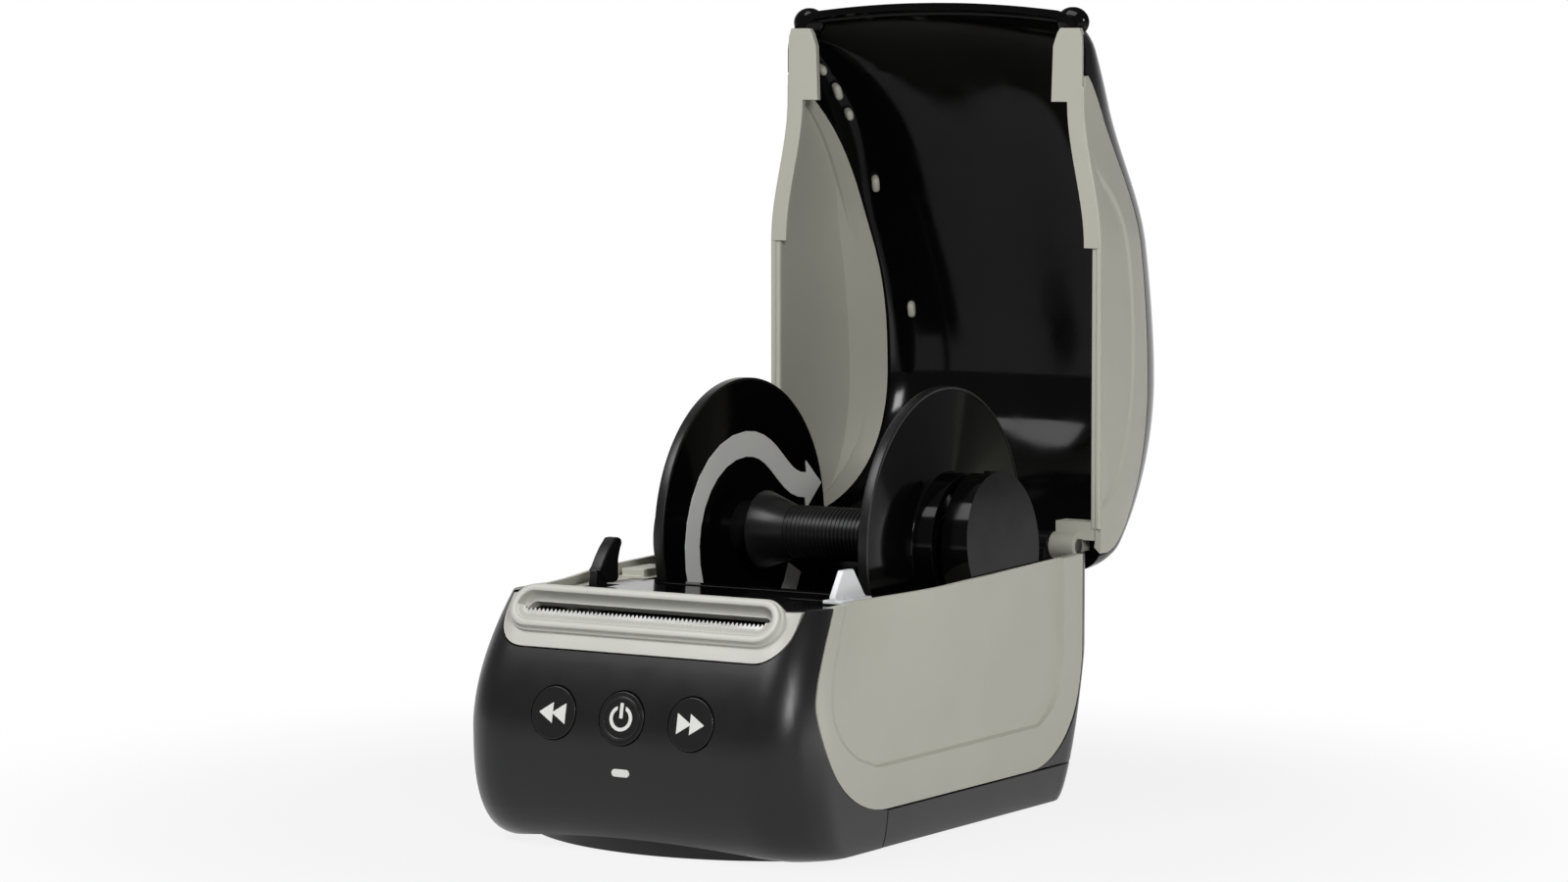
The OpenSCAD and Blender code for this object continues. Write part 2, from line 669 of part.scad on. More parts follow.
slot_half = slot_h / 2 + blade_t + tooth_h / 2;
module ring_opening() stadium(2 * (ring_half - ring_band), ring_h - 2 * ring_band);
module front_bezel() color(pale_grey) difference() {
  union() {
    slab(bezel_grid(0), bezel_grid(wall));
    on_ring() translate([0, 0, -ring_in]) linear_extrude(ring_in + ring_out) stadium(2 * ring_half, ring_h);
  }
  on_ring() translate([0, 0, sill_h]) linear_extrude(ring_out) ring_opening();
  on_ring() translate([0, 0, -ring_in / 2]) linear_extrude(ring_in + ring_out) intersection() {
    ring_opening();
    translate([-ring_half, -slot_half]) square([2 * ring_half, ring_h]);
  }
  on_ring() translate([0, 0, -3 * ring_in]) linear_extrude(5 * ring_in) stadium(blade_w + 3, 2 * slot_half);
}

module tear_blade() color(steel) {
  teeth = floor((blade_w - 2 * slot_half) / tooth_pitch);
  left_end = -teeth * tooth_pitch / 2;
  root = -slot_half + blade_t;
  on_ring() translate([0, 0, sill_h - blade_t]) linear_extrude(blade_t) polygon(concat(
    [for (k = [0:teeth - 1]) let (x = left_end + k * tooth_pitch)
      each [[x, root], [x + tooth_pitch / 2, root + tooth_h]]],
    [[-left_end, root], [-left_end, -slot_half], [left_end, -slot_half]]));
}

// Roll bay

module roll_well() color(gloss_black) {
  outer_r = well_r + deck_t;
  difference() {
    bar_x(-well_half, 2 * well_half, spool_y, spool_z, outer_r);
    bar_x(-well_half + deck_t, 2 * (well_half - deck_t), spool_y, spool_z, well_r);
    bar_x(-well_half - 1, 2 * well_half + 2, spool_y, spool_z, collar_r + 1.5);
    translate([-body_w, -body_w, ledge_z]) cube(2 * body_w);
  }
}

well_front = spool_y - sqrt(pow(well_r + deck_t, 2) - pow(spool_z - ledge_z, 2));
deck_setback = 8;
deck_y0 = y_front(rim_front) + deck_setback;
deck_y1 = well_front - fit_gap;
guide_foot = 7;
deck_margin = 2.5;
deck_right = guide_x + guide_foot / 2 + deck_margin;
deck_left = lever_x + lever_w / 2 + deck_margin;
label_slot_w = 4.5;
label_slot_y = deck_y1 - 10.7;
guide_neck = 2.4;
lever_slot_back = 6;
lever_slot_front = (deck_top - lever_z) * tan(lever_swing) + 6;

module feed_deck() color(gloss_black) difference() {
  translate([-deck_left, deck_y0, deck_z]) cube([deck_left + deck_right, deck_y1 - deck_y0, deck_t]);
  translate([-platen_len / 2 - 2, label_slot_y, deck_z - 1]) cube([platen_len + 4, label_slot_w, deck_t + 2]);
  translate([-lever_x - lever_w / 2 - 0.6, -lever_y - lever_slot_front, deck_z - 1])
    cube([lever_w + 1.2, lever_slot_front + lever_slot_back, deck_t + 2]);
  translate([guide_x - guide_travel - guide_neck, -guide_y - guide_neck / 2 - 0.4, deck_z - 1])
    cube([guide_travel + 2 * guide_neck, guide_neck + 0.8, deck_t + 2]);
}

ledge_steps = 12;
ledge_gap = 0.5;
module ledge(inner_front) {
  y0 = edge_front(ledge_z) + border_w + 1;
  y1 = rear_reach - rear_corner - 1;
  ys = [for (k = [0:ledge_steps]) y0 + (y1 - y0) * k / ledge_steps];
  translate([0, 0, ledge_z - deck_t]) linear_extrude(deck_t) polygon(concat(
    [for (y = ys) [x_body(y, ledge_z - deck_t, wall + recess + ledge_gap), y]],
    [[well_half + fit_gap, y1], [well_half + fit_gap, deck_y1 + 2 * fit_gap],
      [inner_front, deck_y1 + 2 * fit_gap], [inner_front, y0]]));
}

step_h = 2.4;
step_len = 16;
step_y = spool_y - cradle_r - step_len - 4;
module left_ledge() color(warm_grey) mirror([1, 0, 0]) {
  ledge(deck_left + fit_gap);
  translate([cradle_x, step_y, ledge_z - deck_t]) cube([cradle_t + 1, step_len, deck_t + step_h]);
}
module right_ledge() color(warm_grey) ledge(deck_right + fit_gap);

notch_len = axle_half - cradle_x + 0.5;
notch_r = axle_r + run_gap;
module cradle() difference() {
  bar_x(cradle_x, cradle_t + cradle_slope, spool_y, spool_z, cradle_r);
  translate([0, -body_w, -body_w]) cube([body_w, 2 * body_w, body_w + ledge_z]);
  translate([cradle_x + cradle_t + cradle_slope, spool_y - body_w / 2, ledge_z])
    rotate([0, -atan(cradle_slope / (spool_z + cradle_r - ledge_z)), 0]) translate([0, 0, -1]) cube(body_w);
  bar_x(cradle_x - 1, notch_len + 1, spool_y, spool_z, notch_r);
  translate([cradle_x - 1, spool_y - notch_r, spool_z]) cube([notch_len + 1, 2 * notch_r, 2 * cradle_r]);
}

module right_cradle() color(gloss_black) cradle();
module left_cradle() color(gloss_black) mirror([1, 0, 0]) cradle();

// Spool

core_x0 = -flange_x + hub_len + cone_len;
core_x1 = cradle_x - 2.5;

module spool_axle() color(steel) bar_x(-axle_half, 2 * axle_half, spool_y, spool_z, axle_r);

module spool_spindle() color(gloss_black) translate([0, spool_y, spool_z]) rotate([0, 90, 0]) difference() {
  union() {
    translate([0, 0, -flange_x]) cylinder(h = hub_len + 0.5, r = hub_r);
    translate([0, 0, -flange_x + hub_len]) cylinder(h = cone_len, r1 = cone_r, r2 = core_r);
    translate([0, 0, core_x0 - 0.5]) cylinder(h = core_x1 - core_x0 + 0.5, r = core_r - rib_depth);
    for (x = [core_x0:rib_pitch:core_x1 - rib_pitch])
      translate([0, 0, x]) cylinder(h = rib_pitch / 2, r = core_r);
  }
  translate([0, 0, -flange_x - 1]) cylinder(h = core_x1 + flange_x + 2, r = axle_r + run_gap / 2);
}

module left_flange() color(gloss_black) difference() {
  bar_x(-flange_x - flange_t, flange_t, spool_y, spool_z, flange_r);
  bar_x(-flange_x - flange_t - 1, flange_t + 2, spool_y, spool_z, axle_r + run_gap / 2);
}

// Feed arrow: most of a ring, then a swing outwards to the arrowhead
arrow_start = -20;
arrow_stop = -270;
arrow_steps = 20;
arrow_reach = 35.5;
arrow_low = 10.9;
head_len = 9.3;
head_half = 7.8;
arrow_top = arrow_r - arrow_drop;
arrow_swing = [[0, arrow_top], [0.5 * arrow_reach, arrow_top], [0.6 * arrow_reach, arrow_low],
  [arrow_reach, arrow_low]];
arrow_path = concat(
  [for (k = [0:arrow_steps]) let (a = arrow_start + (arrow_stop - arrow_start) * k / arrow_steps)
    arrow_r * [cos(a), sin(a)] - [0, arrow_drop]],
  [for (k = [1:arrow_steps / 2]) bezier(arrow_swing, 2 * k / arrow_steps)]);
arrow_end = len(arrow_path) - 1;
function arrow_side(k, w) = let (d = arrow_path[min(arrow_end, k + 1)] - arrow_path[max(0, k - 1)])
  arrow_path[k] + w * [-d[1], d[0]] / norm(d);
module feed_arrow() color(off_white) along_x(-flange_x, icon_t) translate([spool_y, spool_z]) polygon(concat(
  [for (k = [0:arrow_end]) arrow_side(k, arrow_band / 2)],
  [[arrow_reach, arrow_low + head_half], [arrow_reach + head_len, arrow_low],
    [arrow_reach, arrow_low - head_half]],
  [for (k = [arrow_end:-1:0]) arrow_side(k, -arrow_band / 2)]));

module right_flange() color(gloss_black) difference() {
  union() {
    bar_x(flange_x - flange_t, flange_t, spool_y, spool_z, flange_r);
    bar_x(flange_x - 0.5, collar_len + 0.5, spool_y, spool_z, collar_r);
  }
  bar_x(flange_x, collar_len + 1, spool_y, spool_z, collar_r - 2.5);
  bar_x(flange_x - flange_t - 1, flange_t + 2, spool_y, spool_z, core_r + run_gap);
}

// Feed and print mechanism

platen_at = [-platen_y, platen_z];
function pitch_r(teeth) = gear_m * teeth / 2;
gear_side = 1;
tooth_root = 1.2;
tooth_tip = 0.8;
root_share = 0.29;
tip_share = 0.1;
idler_bearing = -45;
pinion_bearing = -16;
function toward(angle) = [cos(angle), sin(angle)];
idler_at = platen_at + pitch_r(platen_teeth + idler_teeth) * toward(idler_bearing);
pinion_at = idler_at + pitch_r(idler_teeth + pinion_teeth) * toward(pinion_bearing);
idler_phase = idler_bearing + 180 + 180 / idler_teeth;
idler_pitch = 360 / idler_teeth;
pinion_lag = pinion_bearing - idler_phase - idler_pitch * floor((pinion_bearing - idler_phase) / idler_pitch);
pinion_phase = pinion_bearing + 180 + pinion_lag * idler_teeth / pinion_teeth + 180 / pinion_teeth;
gear_x = plate_half + plate_t + gear_side;

module gear_outline(teeth, phase) {
  r = pitch_r(teeth);
  step = 360 / teeth;
  polygon([for (k = [0:teeth - 1]) let (a = phase + k * step) each [
    (r - tooth_root * gear_m) * toward(a - root_share * step),
    (r + tooth_tip * gear_m) * toward(a - tip_share * step),
    (r + tooth_tip * gear_m) * toward(a + tip_share * step),
    (r - tooth_root * gear_m) * toward(a + root_share * step)]]);
}

module gear(at, teeth, phase, bore_r) difference() {
  along_x(gear_x, gear_w) translate(at) gear_outline(teeth, phase);
  bar_x(gear_x - 1, gear_w + 2, at[0], at[1], bore_r);
}

module platen_gear() color(off_white) gear(platen_at, platen_teeth, idler_bearing, shaft_r + seat_gap);
module idler_gear() color(off_white) gear(idler_at, idler_teeth, idler_phase, idler_r + run_gap);
module motor_pinion() color("goldenrod") gear(pinion_at, pinion_teeth, pinion_phase, motor_shaft_r + run_gap);

bush_r = 4.5;
bar_t = 3;
bar_h = 22;
idler_r = 2;
motor_shaft_r = 1.5;
pivot_back = 20;
pivot_y = -platen_y + pivot_back;
pivot_z = platen_z + platen_r;
pivot_r = 1.5;
pivot_eye = 3.2;
plate_rim = 3.5;
plate_nose = 9;
plate_heel = 10;
plate_top = pivot_z + plate_rim;
plate_front = -platen_y - plate_nose;
plate_back = pinion_at[0] + plate_heel;

module plate_outline() difference() {
  polygon([[plate_front, floor_top], [plate_back, floor_top], [plate_back, idler_at[1] + plate_heel],
    [pivot_y + plate_nose, plate_top], [plate_front, plate_top]]);
  translate(platen_at) circle(r = bush_r + seat_gap);
  translate([pivot_y, pivot_z]) circle(r = pivot_r + seat_gap);
}

module mechanism_plates() color(steel) {
  difference() {
    along_x(plate_half, plate_t) plate_outline();
    bar_x(plate_half - 1, plate_t + 2, idler_at[0], idler_at[1], idler_r + seat_gap);
    bar_x(plate_half - 1, plate_t + 2, pinion_at[0], pinion_at[1], pitch_r(pinion_teeth) + 2);
  }
  difference() {
    along_x(-plate_half - plate_t, plate_t) plate_outline();
    bar_x(-plate_half - plate_t - 1, plate_t + 2, -lever_y, lever_z, lever_pin_r + seat_gap);
  }
}

module cross_bar() color(steel)
  translate([-plate_half, plate_front + bar_t, floor_top]) cube([2 * plate_half, bar_t, bar_h]);

bush_lip = 0.6;
bush_x0 = plate_half - bush_lip;
bush_len = plate_t + 2 * bush_lip;
module platen_bushes() color("goldenrod") both_sides() difference() {
  bar_x(bush_x0, bush_len, platen_at[0], platen_at[1], bush_r);
  bar_x(bush_x0 - cut_over, bush_len + 2 * cut_over, platen_at[0], platen_at[1], shaft_r + run_gap);
}

shaft_x0 = -plate_half - plate_t - bush_lip - gear_side;
pin_x1 = gear_x + gear_w + gear_side;
module platen_shaft() color(steel) bar_x(shaft_x0, pin_x1 - shaft_x0, platen_at[0], platen_at[1], shaft_r);
module platen_roller() color([0.15, 0.15, 0.15]) difference() {
  bar_x(-platen_len / 2, platen_len, platen_at[0], platen_at[1], platen_r);
  bar_x(-platen_len / 2 - 1, platen_len + 2, platen_at[0], platen_at[1], shaft_r + seat_gap);
}

module idler_pin() color(steel) bar_x(plate_half, pin_x1 - plate_half, idler_at[0], idler_at[1], idler_r);
module drive_motor() color([0.3, 0.3, 0.32]) {
  bar_x(plate_half - motor_len, motor_len, pinion_at[0], pinion_at[1], motor_r);
  bar_x(plate_half - cut_over, pin_x1 - plate_half + cut_over, pinion_at[0], pinion_at[1], motor_shaft_r);
}

head_z = platen_z + platen_r + head_gap;
head_nose = 5;
head_w = 12;
head_y0 = -platen_y - head_nose;
bracket_t = 1.5;
cheek_t = 2.5;
cheek_len = 10;
module print_head() color([0.85, 0.82, 0.74]) translate([-platen_len / 2, head_y0, head_z])
  cube([platen_len, head_w, head_t]);

bracket_half = plate_half - bracket_t;
module head_bracket() color(steel) difference() {
  union() {
    translate([-bracket_half, head_y0, head_z + head_t])
      cube([2 * bracket_half, pivot_y - head_y0, bracket_t]);
    both_sides() along_x(bracket_half - cheek_t, cheek_t) {
      translate([pivot_y, pivot_z]) circle(r = pivot_eye);
      translate([pivot_y - cheek_len, pivot_z]) square([cheek_len, head_z + head_t + bracket_t - pivot_z]);
    }
  }
  bar_x(-bracket_half - 1, 2 * bracket_half + 2, pivot_y, pivot_z, pivot_r + run_gap);
}

rod_half = plate_half + plate_t;
module head_pivot_rod() color(steel) bar_x(-rod_half, 2 * rod_half, pivot_y, pivot_z, pivot_r);

spring_r = 2.2;
spring_wire = 0.6;
spring_z = head_z + head_t + bracket_t;
spring_h = deck_z - spring_z;
module head_springs() color(steel) both_sides()
  translate([bracket_half - 2 * cheek_t - spring_r, pivot_y - cheek_len - spring_r, spring_z]) difference() {
    cylinder(h = spring_h, r = spring_r);
    translate([0, 0, -cut_over]) cylinder(h = spring_h + 2 * cut_over, r = spring_r - spring_wire);
  }

// Release lever and label guide

lever_pin_r = 1.6;
lever_eye_r = 4;
grip_z = lever_top - grip_h;
module lever_outline() {
  circle(r = lever_eye_r);
  polygon([[-lever_eye_r + 0.4, 0], [lever_eye_r - 0.4, 0], [2, grip_z - lever_z], [-2, grip_z - lever_z]]);
  polygon([[-2, grip_z - lever_z - 2], [2, grip_z - lever_z - 2], [grip_d / 2, grip_z - lever_z + 3],
    [2.2, lever_top - lever_z], [-1.2, lever_top - lever_z], [-grip_d / 2, grip_z - lever_z + 1.2]]);
}

module release_lever() color(charcoal) difference() {
  along_x(-lever_x - lever_w / 2, lever_w) translate([-lever_y, lever_z]) lever_outline();
  bar_x(-lever_x - lever_w, 2 * lever_w, -lever_y, lever_z, lever_pin_r + run_gap);
}

lever_pin_x0 = -lever_x - lever_w / 2 - cut_over;
module lever_pin() color(steel)
  bar_x(lever_pin_x0, -plate_half - lever_pin_x0, -lever_y, lever_z, lever_pin_r);

guide_t = 2.2;
guide_sole = 1.2;
guide_crest = 6;
shoe_len = 8;
shoe_z = deck_z - fit_gap - guide_sole;
module label_guide() color("white") {
  along_x(guide_x - guide_t / 2, guide_t) translate([-guide_y, deck_top + fit_gap])
    polygon([[-guide_len / 2, 0], [guide_len / 2, 0], [guide_len / 2, guide_sole], [guide_crest / 3, guide_h],
      [-2 * guide_crest / 3, guide_h], [-guide_len / 2, 2 * guide_sole]]);
  translate([guide_x - guide_foot / 2, -guide_y - guide_len / 2, deck_top + fit_gap])
    cube([guide_foot, guide_len, guide_sole]);
  translate([guide_x - guide_neck / 2, -guide_y - guide_neck / 2, shoe_z])
    cube([guide_neck, guide_neck, deck_top + fit_gap + guide_sole / 2 - shoe_z]);
  translate([guide_x - guide_neck / 2, -guide_y - shoe_len / 2, shoe_z])
    cube([guide_neck, shoe_len, guide_sole]);
}

// Buttons

button_face = y_front(button_z) - 0.3;
button_back = button_face + button_len;
module on_button(k) translate([k * button_pitch, button_face, button_z])
  rotate([90 - button_tilt, 0, 0]) children();
module button(k) difference() {
  bar_y(button_face - button_r, button_len + button_r, k * button_pitch, button_z, button_r);
  on_button(k) translate([-2 * button_r, -2 * button_r, 0]) cube(4 * button_r);
}
module back_button() color(charcoal) button(-1);
module power_button() color(charcoal) button(0);
module feed_button() color(charcoal) button(1);

module icon(k) on_button(k) linear_extrude(icon_t) children();
module double_arrow() for (x = [-icon_half, 0]) translate([x, 0])
  polygon([[0, -icon_half * 0.8], [icon_half + 0.2, -0.2], [icon_half + 0.2, 0.2], [0, icon_half * 0.8]]);
module back_icon() color(off_white) icon(-1) mirror([1, 0]) double_arrow();
module feed_icon() color(off_white) icon(1) double_arrow();
module power_icon() color(off_white) icon(0) {
  difference() {
    circle(r = icon_half * 0.8);
    circle(r = icon_half * 0.8 - 1.2);
    translate([-1.6, 0]) square([3.2, icon_half]);
  }
  translate([-0.6, 0]) square([1.2, icon_half * 0.95]);
}

switch_h = 2.5;
press_gap = 0.3;
switch_y = button_back + button_travel + press_gap;
board_front = switch_y + switch_h;
module button_switches() color([0.2, 0.2, 0.2]) at_buttons() {
  translate([-3, switch_y + 0.8, -3]) cube([6, switch_h - 0.8, 6]);
  bar_y(switch_y, 1, 0, 0, 1.6);
}
board_rim = 10;
board_reach = button_pitch + button_r + 1;
button_sheet = 1.2;
button_foot = 8;
module button_board() color(board_green) translate([-board_reach, board_front, lamp_z - board_rim / 2])
  cube([2 * board_reach, board_t, button_z - lamp_z + 1.5 * board_rim]);
module button_bracket() color(steel) translate([-board_reach, board_front + board_t, floor_top]) {
  cube([2 * board_reach, button_sheet, button_z + board_rim - floor_top]);
  cube([2 * board_reach, button_foot, button_sheet]);
}
module status_lamp() color("white") translate([0, 0, lamp_z])
  along_y(y_front(lamp_z) - 0.2, board_front - y_front(lamp_z) + 0.2) stadium(lamp_w, lamp_h);

// Electronics

board_z = floor_top + standoff_h;
module main_board() color(board_green) translate([-board_half, board_y0, board_z])
  cube([2 * board_half, board_y1 - board_y0, board_t]);
chip_w = 16;
chip_h = 2;
coil_w = 14;
coil_h = 10;
can_r = 4.5;
can_h = 13;
part_inset = 8;
module board_parts() color([0.12, 0.12, 0.13]) translate([0, 0, board_z + board_t]) {
  translate([power_x - chip_w / 2, board_y0 + 3 * part_inset, 0]) cube([chip_w, chip_w, chip_h]);
  translate([data_x + chip_w / 2, board_y0 + 3 * part_inset, 0]) cube([chip_w, chip_w, chip_h]);
  translate([board_half - part_inset - coil_w, board_y1 - part_inset - 2 * coil_w, 0])
    cube([coil_w, coil_w, coil_h]);
  for (k = [1, 3]) translate([-board_half + k * part_inset, board_y0 + 1.8 * part_inset, 0])
    cylinder(h = can_h, r = can_r);
}
socket_len = 25;
socket_wall = 1.5;
socket_depth = 10;
socket_set = 0.6;
function socket_face() = y_rear(socket_z + data_h / 2) - socket_set;
socket_back = socket_face() - socket_len;
module data_socket() color(steel) difference() {
  translate([data_x - data_w / 2, socket_back, socket_z]) cube([data_w, socket_len, data_h]);
  translate([data_x - data_w / 2 + socket_wall, socket_face() - socket_depth, socket_z + socket_wall])
    cube([data_w - 2 * socket_wall, 2 * socket_depth, data_h - 2 * socket_wall]);
}
module power_socket() color(gloss_black) difference() {
  translate([power_x - power_w / 2, socket_back, socket_z]) cube([power_w, socket_len, data_h]);
  bar_y(socket_face() - socket_depth, 2 * socket_depth, power_x, socket_z + data_h / 2, power_bore_r);
}

// Lid, drawn open: distance from the hinge runs up +Z and height above the lid's edge runs along +Y

function bezier(p, t) = let (u = 1 - t)
  u * u * u * p[0] + 3 * t * u * u * p[1] + 3 * t * t * u * p[2] + t * t * t * p[3];
lid_lip = 16;
lid_brow = 0.614;
lid_heel = 0.5;
lid_crown = 32;
lid_front_curve = [[lid_len, 0], [lid_len - lid_lip, lid_brow * lid_peak],
  [lid_peak_at + lid_crown, lid_peak], [lid_peak_at, lid_peak]];
lid_rear_curve = [[-lid_tail, 0], [-lid_tail, lid_heel * lid_peak], [lid_peak_at - lid_crown, lid_peak],
  [lid_peak_at, lid_peak]];
function solve(p, s, lo, hi, n) = let (mid = (lo + hi) / 2) n == 0 ? mid
  : (bezier(p, mid)[0] - s) * (p[3][0] - p[0][0]) > 0 ? solve(p, s, lo, mid, n - 1)
  : solve(p, s, mid, hi, n - 1);
solve_steps = 24;
function lid_height(s) = let (p = s > lid_peak_at ? lid_front_curve : lid_rear_curve)
  bezier(p, solve(p, s, 0, 1, solve_steps))[1];
function corner_loss(r, d) = r * (1 - sqrt(max(0, 1 - pow(max(0, d) / r, 2))));
tail_round = 0.9;
function lid_half(s) = half_w(rim_front, hinge_y - s) - corner_loss(lid_corner, s - lid_len + lid_corner)
  - (s < 0 ? rear_corner * (1 - sqrt(max(0, 1 - tail_round * pow(s / lid_tail, 2)))) : 0);

lid_step = 18;
lid_end_angle = 9;
lid_turn = 180 - 2 * lid_end_angle;
lid_arc = [for (k = [0:lid_step]) let (c = cos(lid_end_angle + lid_turn * k / lid_step))
  lid_panel_at - c * (c > 0 ? lid_panel_rear : lid_panel_a)];
lid_blunt = 0.1;
lid_end_gap = 0.8;
tail_s = lid_blunt - lid_tail;
lip_s = lid_len - lid_blunt;
lid_tail_rows = [for (k = [0:3]) tail_s + (lid_arc[0] - lid_end_gap - tail_s) * pow(k / 3, 2)];
lid_lip_rows = [for (k = [5:-1:0]) lip_s - (lip_s - lid_arc[lid_step] - lid_end_gap) * pow(k / 5, 1.6)];
lid_rows = concat(lid_tail_rows, lid_arc, lid_lip_rows);
lid_panel_taper = 0.75;
function panel_edge(s) = let (d = s - lid_panel_at, t = d / (d < 0 ? lid_panel_rear : lid_panel_a))
  lid_panel_b * pow(max(0, 1 - t * t), d < 0 ? 0.5 : lid_panel_taper);
function lid_angle(s, h) = asin(pow(unit(h / max(lid_height(s), 0.01)), lid_square / 2));
function lid_point(s, a, k) = let (c = cos(a), w = lid_half(s), mid = (lid_len - lid_tail) / 2)
  [sign(c) * pow(abs(c), 2 / lid_square) * w * (1 - k * wall / (body_w / 2)),
    mate_y + pow(max(0, sin(a)), 2 / lid_square) * lid_height(s) * (1 - k * wall / lid_peak),
    hinge_z + mid + (s - mid) * (1 - k * 2 * wall / (lid_len + lid_tail))];

hood_steps = 18;
function hood_row(s, k) = let (in_panel = s >= lid_arc[0] - 0.01 && s <= lid_arc[lid_step] + 0.01,
  a = in_panel ? lid_angle(s, panel_edge(s) + seam) : 0)
  [for (j = [0:hood_steps]) lid_point(s, a + (180 - 2 * a) * j / hood_steps, k)];
module lid_hood() color(gloss_black)
  slab([for (s = lid_rows) hood_row(s, 0)], [for (s = lid_rows) hood_row(s, 1)]);

lid_shares = [0, 0.25, 0.5, 0.72, 0.82, 0.9, 1];
function lid_panel_row(s, k) = let (top = panel_edge(s))
  [for (j = lid_shares) let (field = j > 0.1 && j < 0.85 && s > lid_arc[1] && s < lid_arc[lid_step - 1])
    lid_point(s, lid_angle(s, top * j), k == 0 && field ? recess / wall : k)];
module lid_panel() slab([for (s = lid_arc) lid_panel_row(s, 0)], [for (s = lid_arc) lid_panel_row(s, 1)]);
module lid_right_panel() color(warm_grey) lid_panel();
module lid_left_panel() color(warm_grey) mirror([1, 0, 0]) lid_panel();

strip_end = 7;
strip_wide = 24;
strip_narrow = 47.5;
strip_taper = 4;
strip_s2 = lid_len - strip_end;
strip_s1 = strip_s2 - strip_wide;
strip_s0 = strip_s1 - strip_narrow;
strip_inset = 0.4;
strip_chamfer = 5;
strip_steps = 6;
strip_in = lid_half(strip_s1) - strip_w;
function strip_side(s) = [lid_half(s) - strip_inset, hinge_z + s];
module lid_strips() color(warm_grey) both_sides() along_y(mate_y - strip_t, strip_t) polygon(concat(
  [for (k = [0:strip_steps]) strip_side(strip_s0 + (strip_s2 - strip_s0) * k / strip_steps)],
  [[strip_in + strip_chamfer, hinge_z + strip_s2], [strip_in, hinge_z + strip_s2 - strip_chamfer],
    [strip_in, hinge_z + strip_s1], [lid_half(strip_s1) - strip_rib, hinge_z + strip_s1 - strip_taper],
    [lid_half(strip_s0) - strip_rib, hinge_z + strip_s0]]));

// Hinge: lugs on the body, ears on the lid and a pin on each side

lug_len = hinge_y - rear_reach + wall + 2;
module hinge_lugs() color(charcoal) both_sides() difference() {
  union() {
    bar_x(lug_x, lug_w, hinge_y, hinge_z, knuckle_r);
    translate([lug_x, hinge_y - lug_len, hinge_cut_z + fit_gap]) cube([lug_w, lug_len, knuckle_r]);
  }
  bar_x(lug_x - 1, lug_w + 2, hinge_y, hinge_z, hinge_pin_r + run_gap);
}

ear_h = 7;
ear_len = 10;
ear_drop = 2;
ear_reach = lid_half(ear_len) * (1 - wall / half_body) - fit_gap - ear_x;
module lid_ears() color(warm_grey) both_sides() difference() {
  union() {
    bar_x(ear_x, ear_w, hinge_y, hinge_z, knuckle_r);
    translate([ear_x, mate_y, hinge_z - ear_drop]) cube([ear_w, ear_h, ear_len]);
    translate([ear_x, mate_y, hinge_z + ear_drop]) cube([ear_reach, ear_h, ear_len - 2 * ear_drop]);
  }
  bar_x(ear_x - cut_over, ear_w + 2 * cut_over, hinge_y, hinge_z, hinge_pin_r + seat_gap);
}

module hinge_pins() color(steel) both_sides()
  bar_x(lug_x, ear_x + ear_w - lug_x, hinge_y, hinge_z, hinge_pin_r);

plinth();
rubber_feet();
floor_plate();
base_skirt();
rear_panel();
front_shell();
left_side_panel();
right_side_panel();
front_bezel();
tear_blade();
roll_well();
feed_deck();
left_ledge();
right_ledge();
left_cradle();
right_cradle();
hinge_lugs();
main_board();
board_parts();
power_socket();
data_socket();
mechanism_plates();
cross_bar();
platen_bushes();
drive_motor();
idler_pin();
head_pivot_rod();
lever_pin();
button_bracket();
button_board();
button_switches();
status_lamp();
case_screws();
lid_hood();
lid_left_panel();
lid_right_panel();
lid_strips();
lid_ears();
hinge_pins();
spool_axle();
spool_spindle();
left_flange();
feed_arrow();
right_flange();
release_lever();
label_guide();
back_button();
back_icon();
power_button();
power_icon();
feed_button();
feed_icon();
platen_roller();
platen_shaft();
platen_gear();
idler_gear();
motor_pinion();
head_bracket();
print_head();
head_springs();
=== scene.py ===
"""Looks of a desktop label printer with its lid open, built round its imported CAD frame.

Sizes are in millimetres, in the frame of the part, until a mesh is made. +X is right, +Y is the rear.
"""
from math import acos, asin, cos, pi, radians, sin, sqrt, tan

import bmesh
import bpy
from mathutils import Matrix, Vector


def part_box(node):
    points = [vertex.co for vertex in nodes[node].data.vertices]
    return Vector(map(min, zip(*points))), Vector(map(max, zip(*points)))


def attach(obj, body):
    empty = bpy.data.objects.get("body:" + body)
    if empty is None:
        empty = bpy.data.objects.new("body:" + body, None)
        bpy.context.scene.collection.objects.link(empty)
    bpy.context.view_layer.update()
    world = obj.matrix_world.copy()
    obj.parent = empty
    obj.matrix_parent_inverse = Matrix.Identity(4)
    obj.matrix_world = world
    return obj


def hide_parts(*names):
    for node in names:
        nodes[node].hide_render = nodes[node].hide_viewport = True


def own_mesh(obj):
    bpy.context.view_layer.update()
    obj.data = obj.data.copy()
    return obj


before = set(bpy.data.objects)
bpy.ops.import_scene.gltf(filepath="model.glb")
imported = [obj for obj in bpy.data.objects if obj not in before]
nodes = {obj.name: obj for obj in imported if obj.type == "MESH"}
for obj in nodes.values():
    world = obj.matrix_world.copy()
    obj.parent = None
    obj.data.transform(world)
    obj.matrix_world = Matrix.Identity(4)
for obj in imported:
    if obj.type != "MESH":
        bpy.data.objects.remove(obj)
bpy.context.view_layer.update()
MM = 0.001

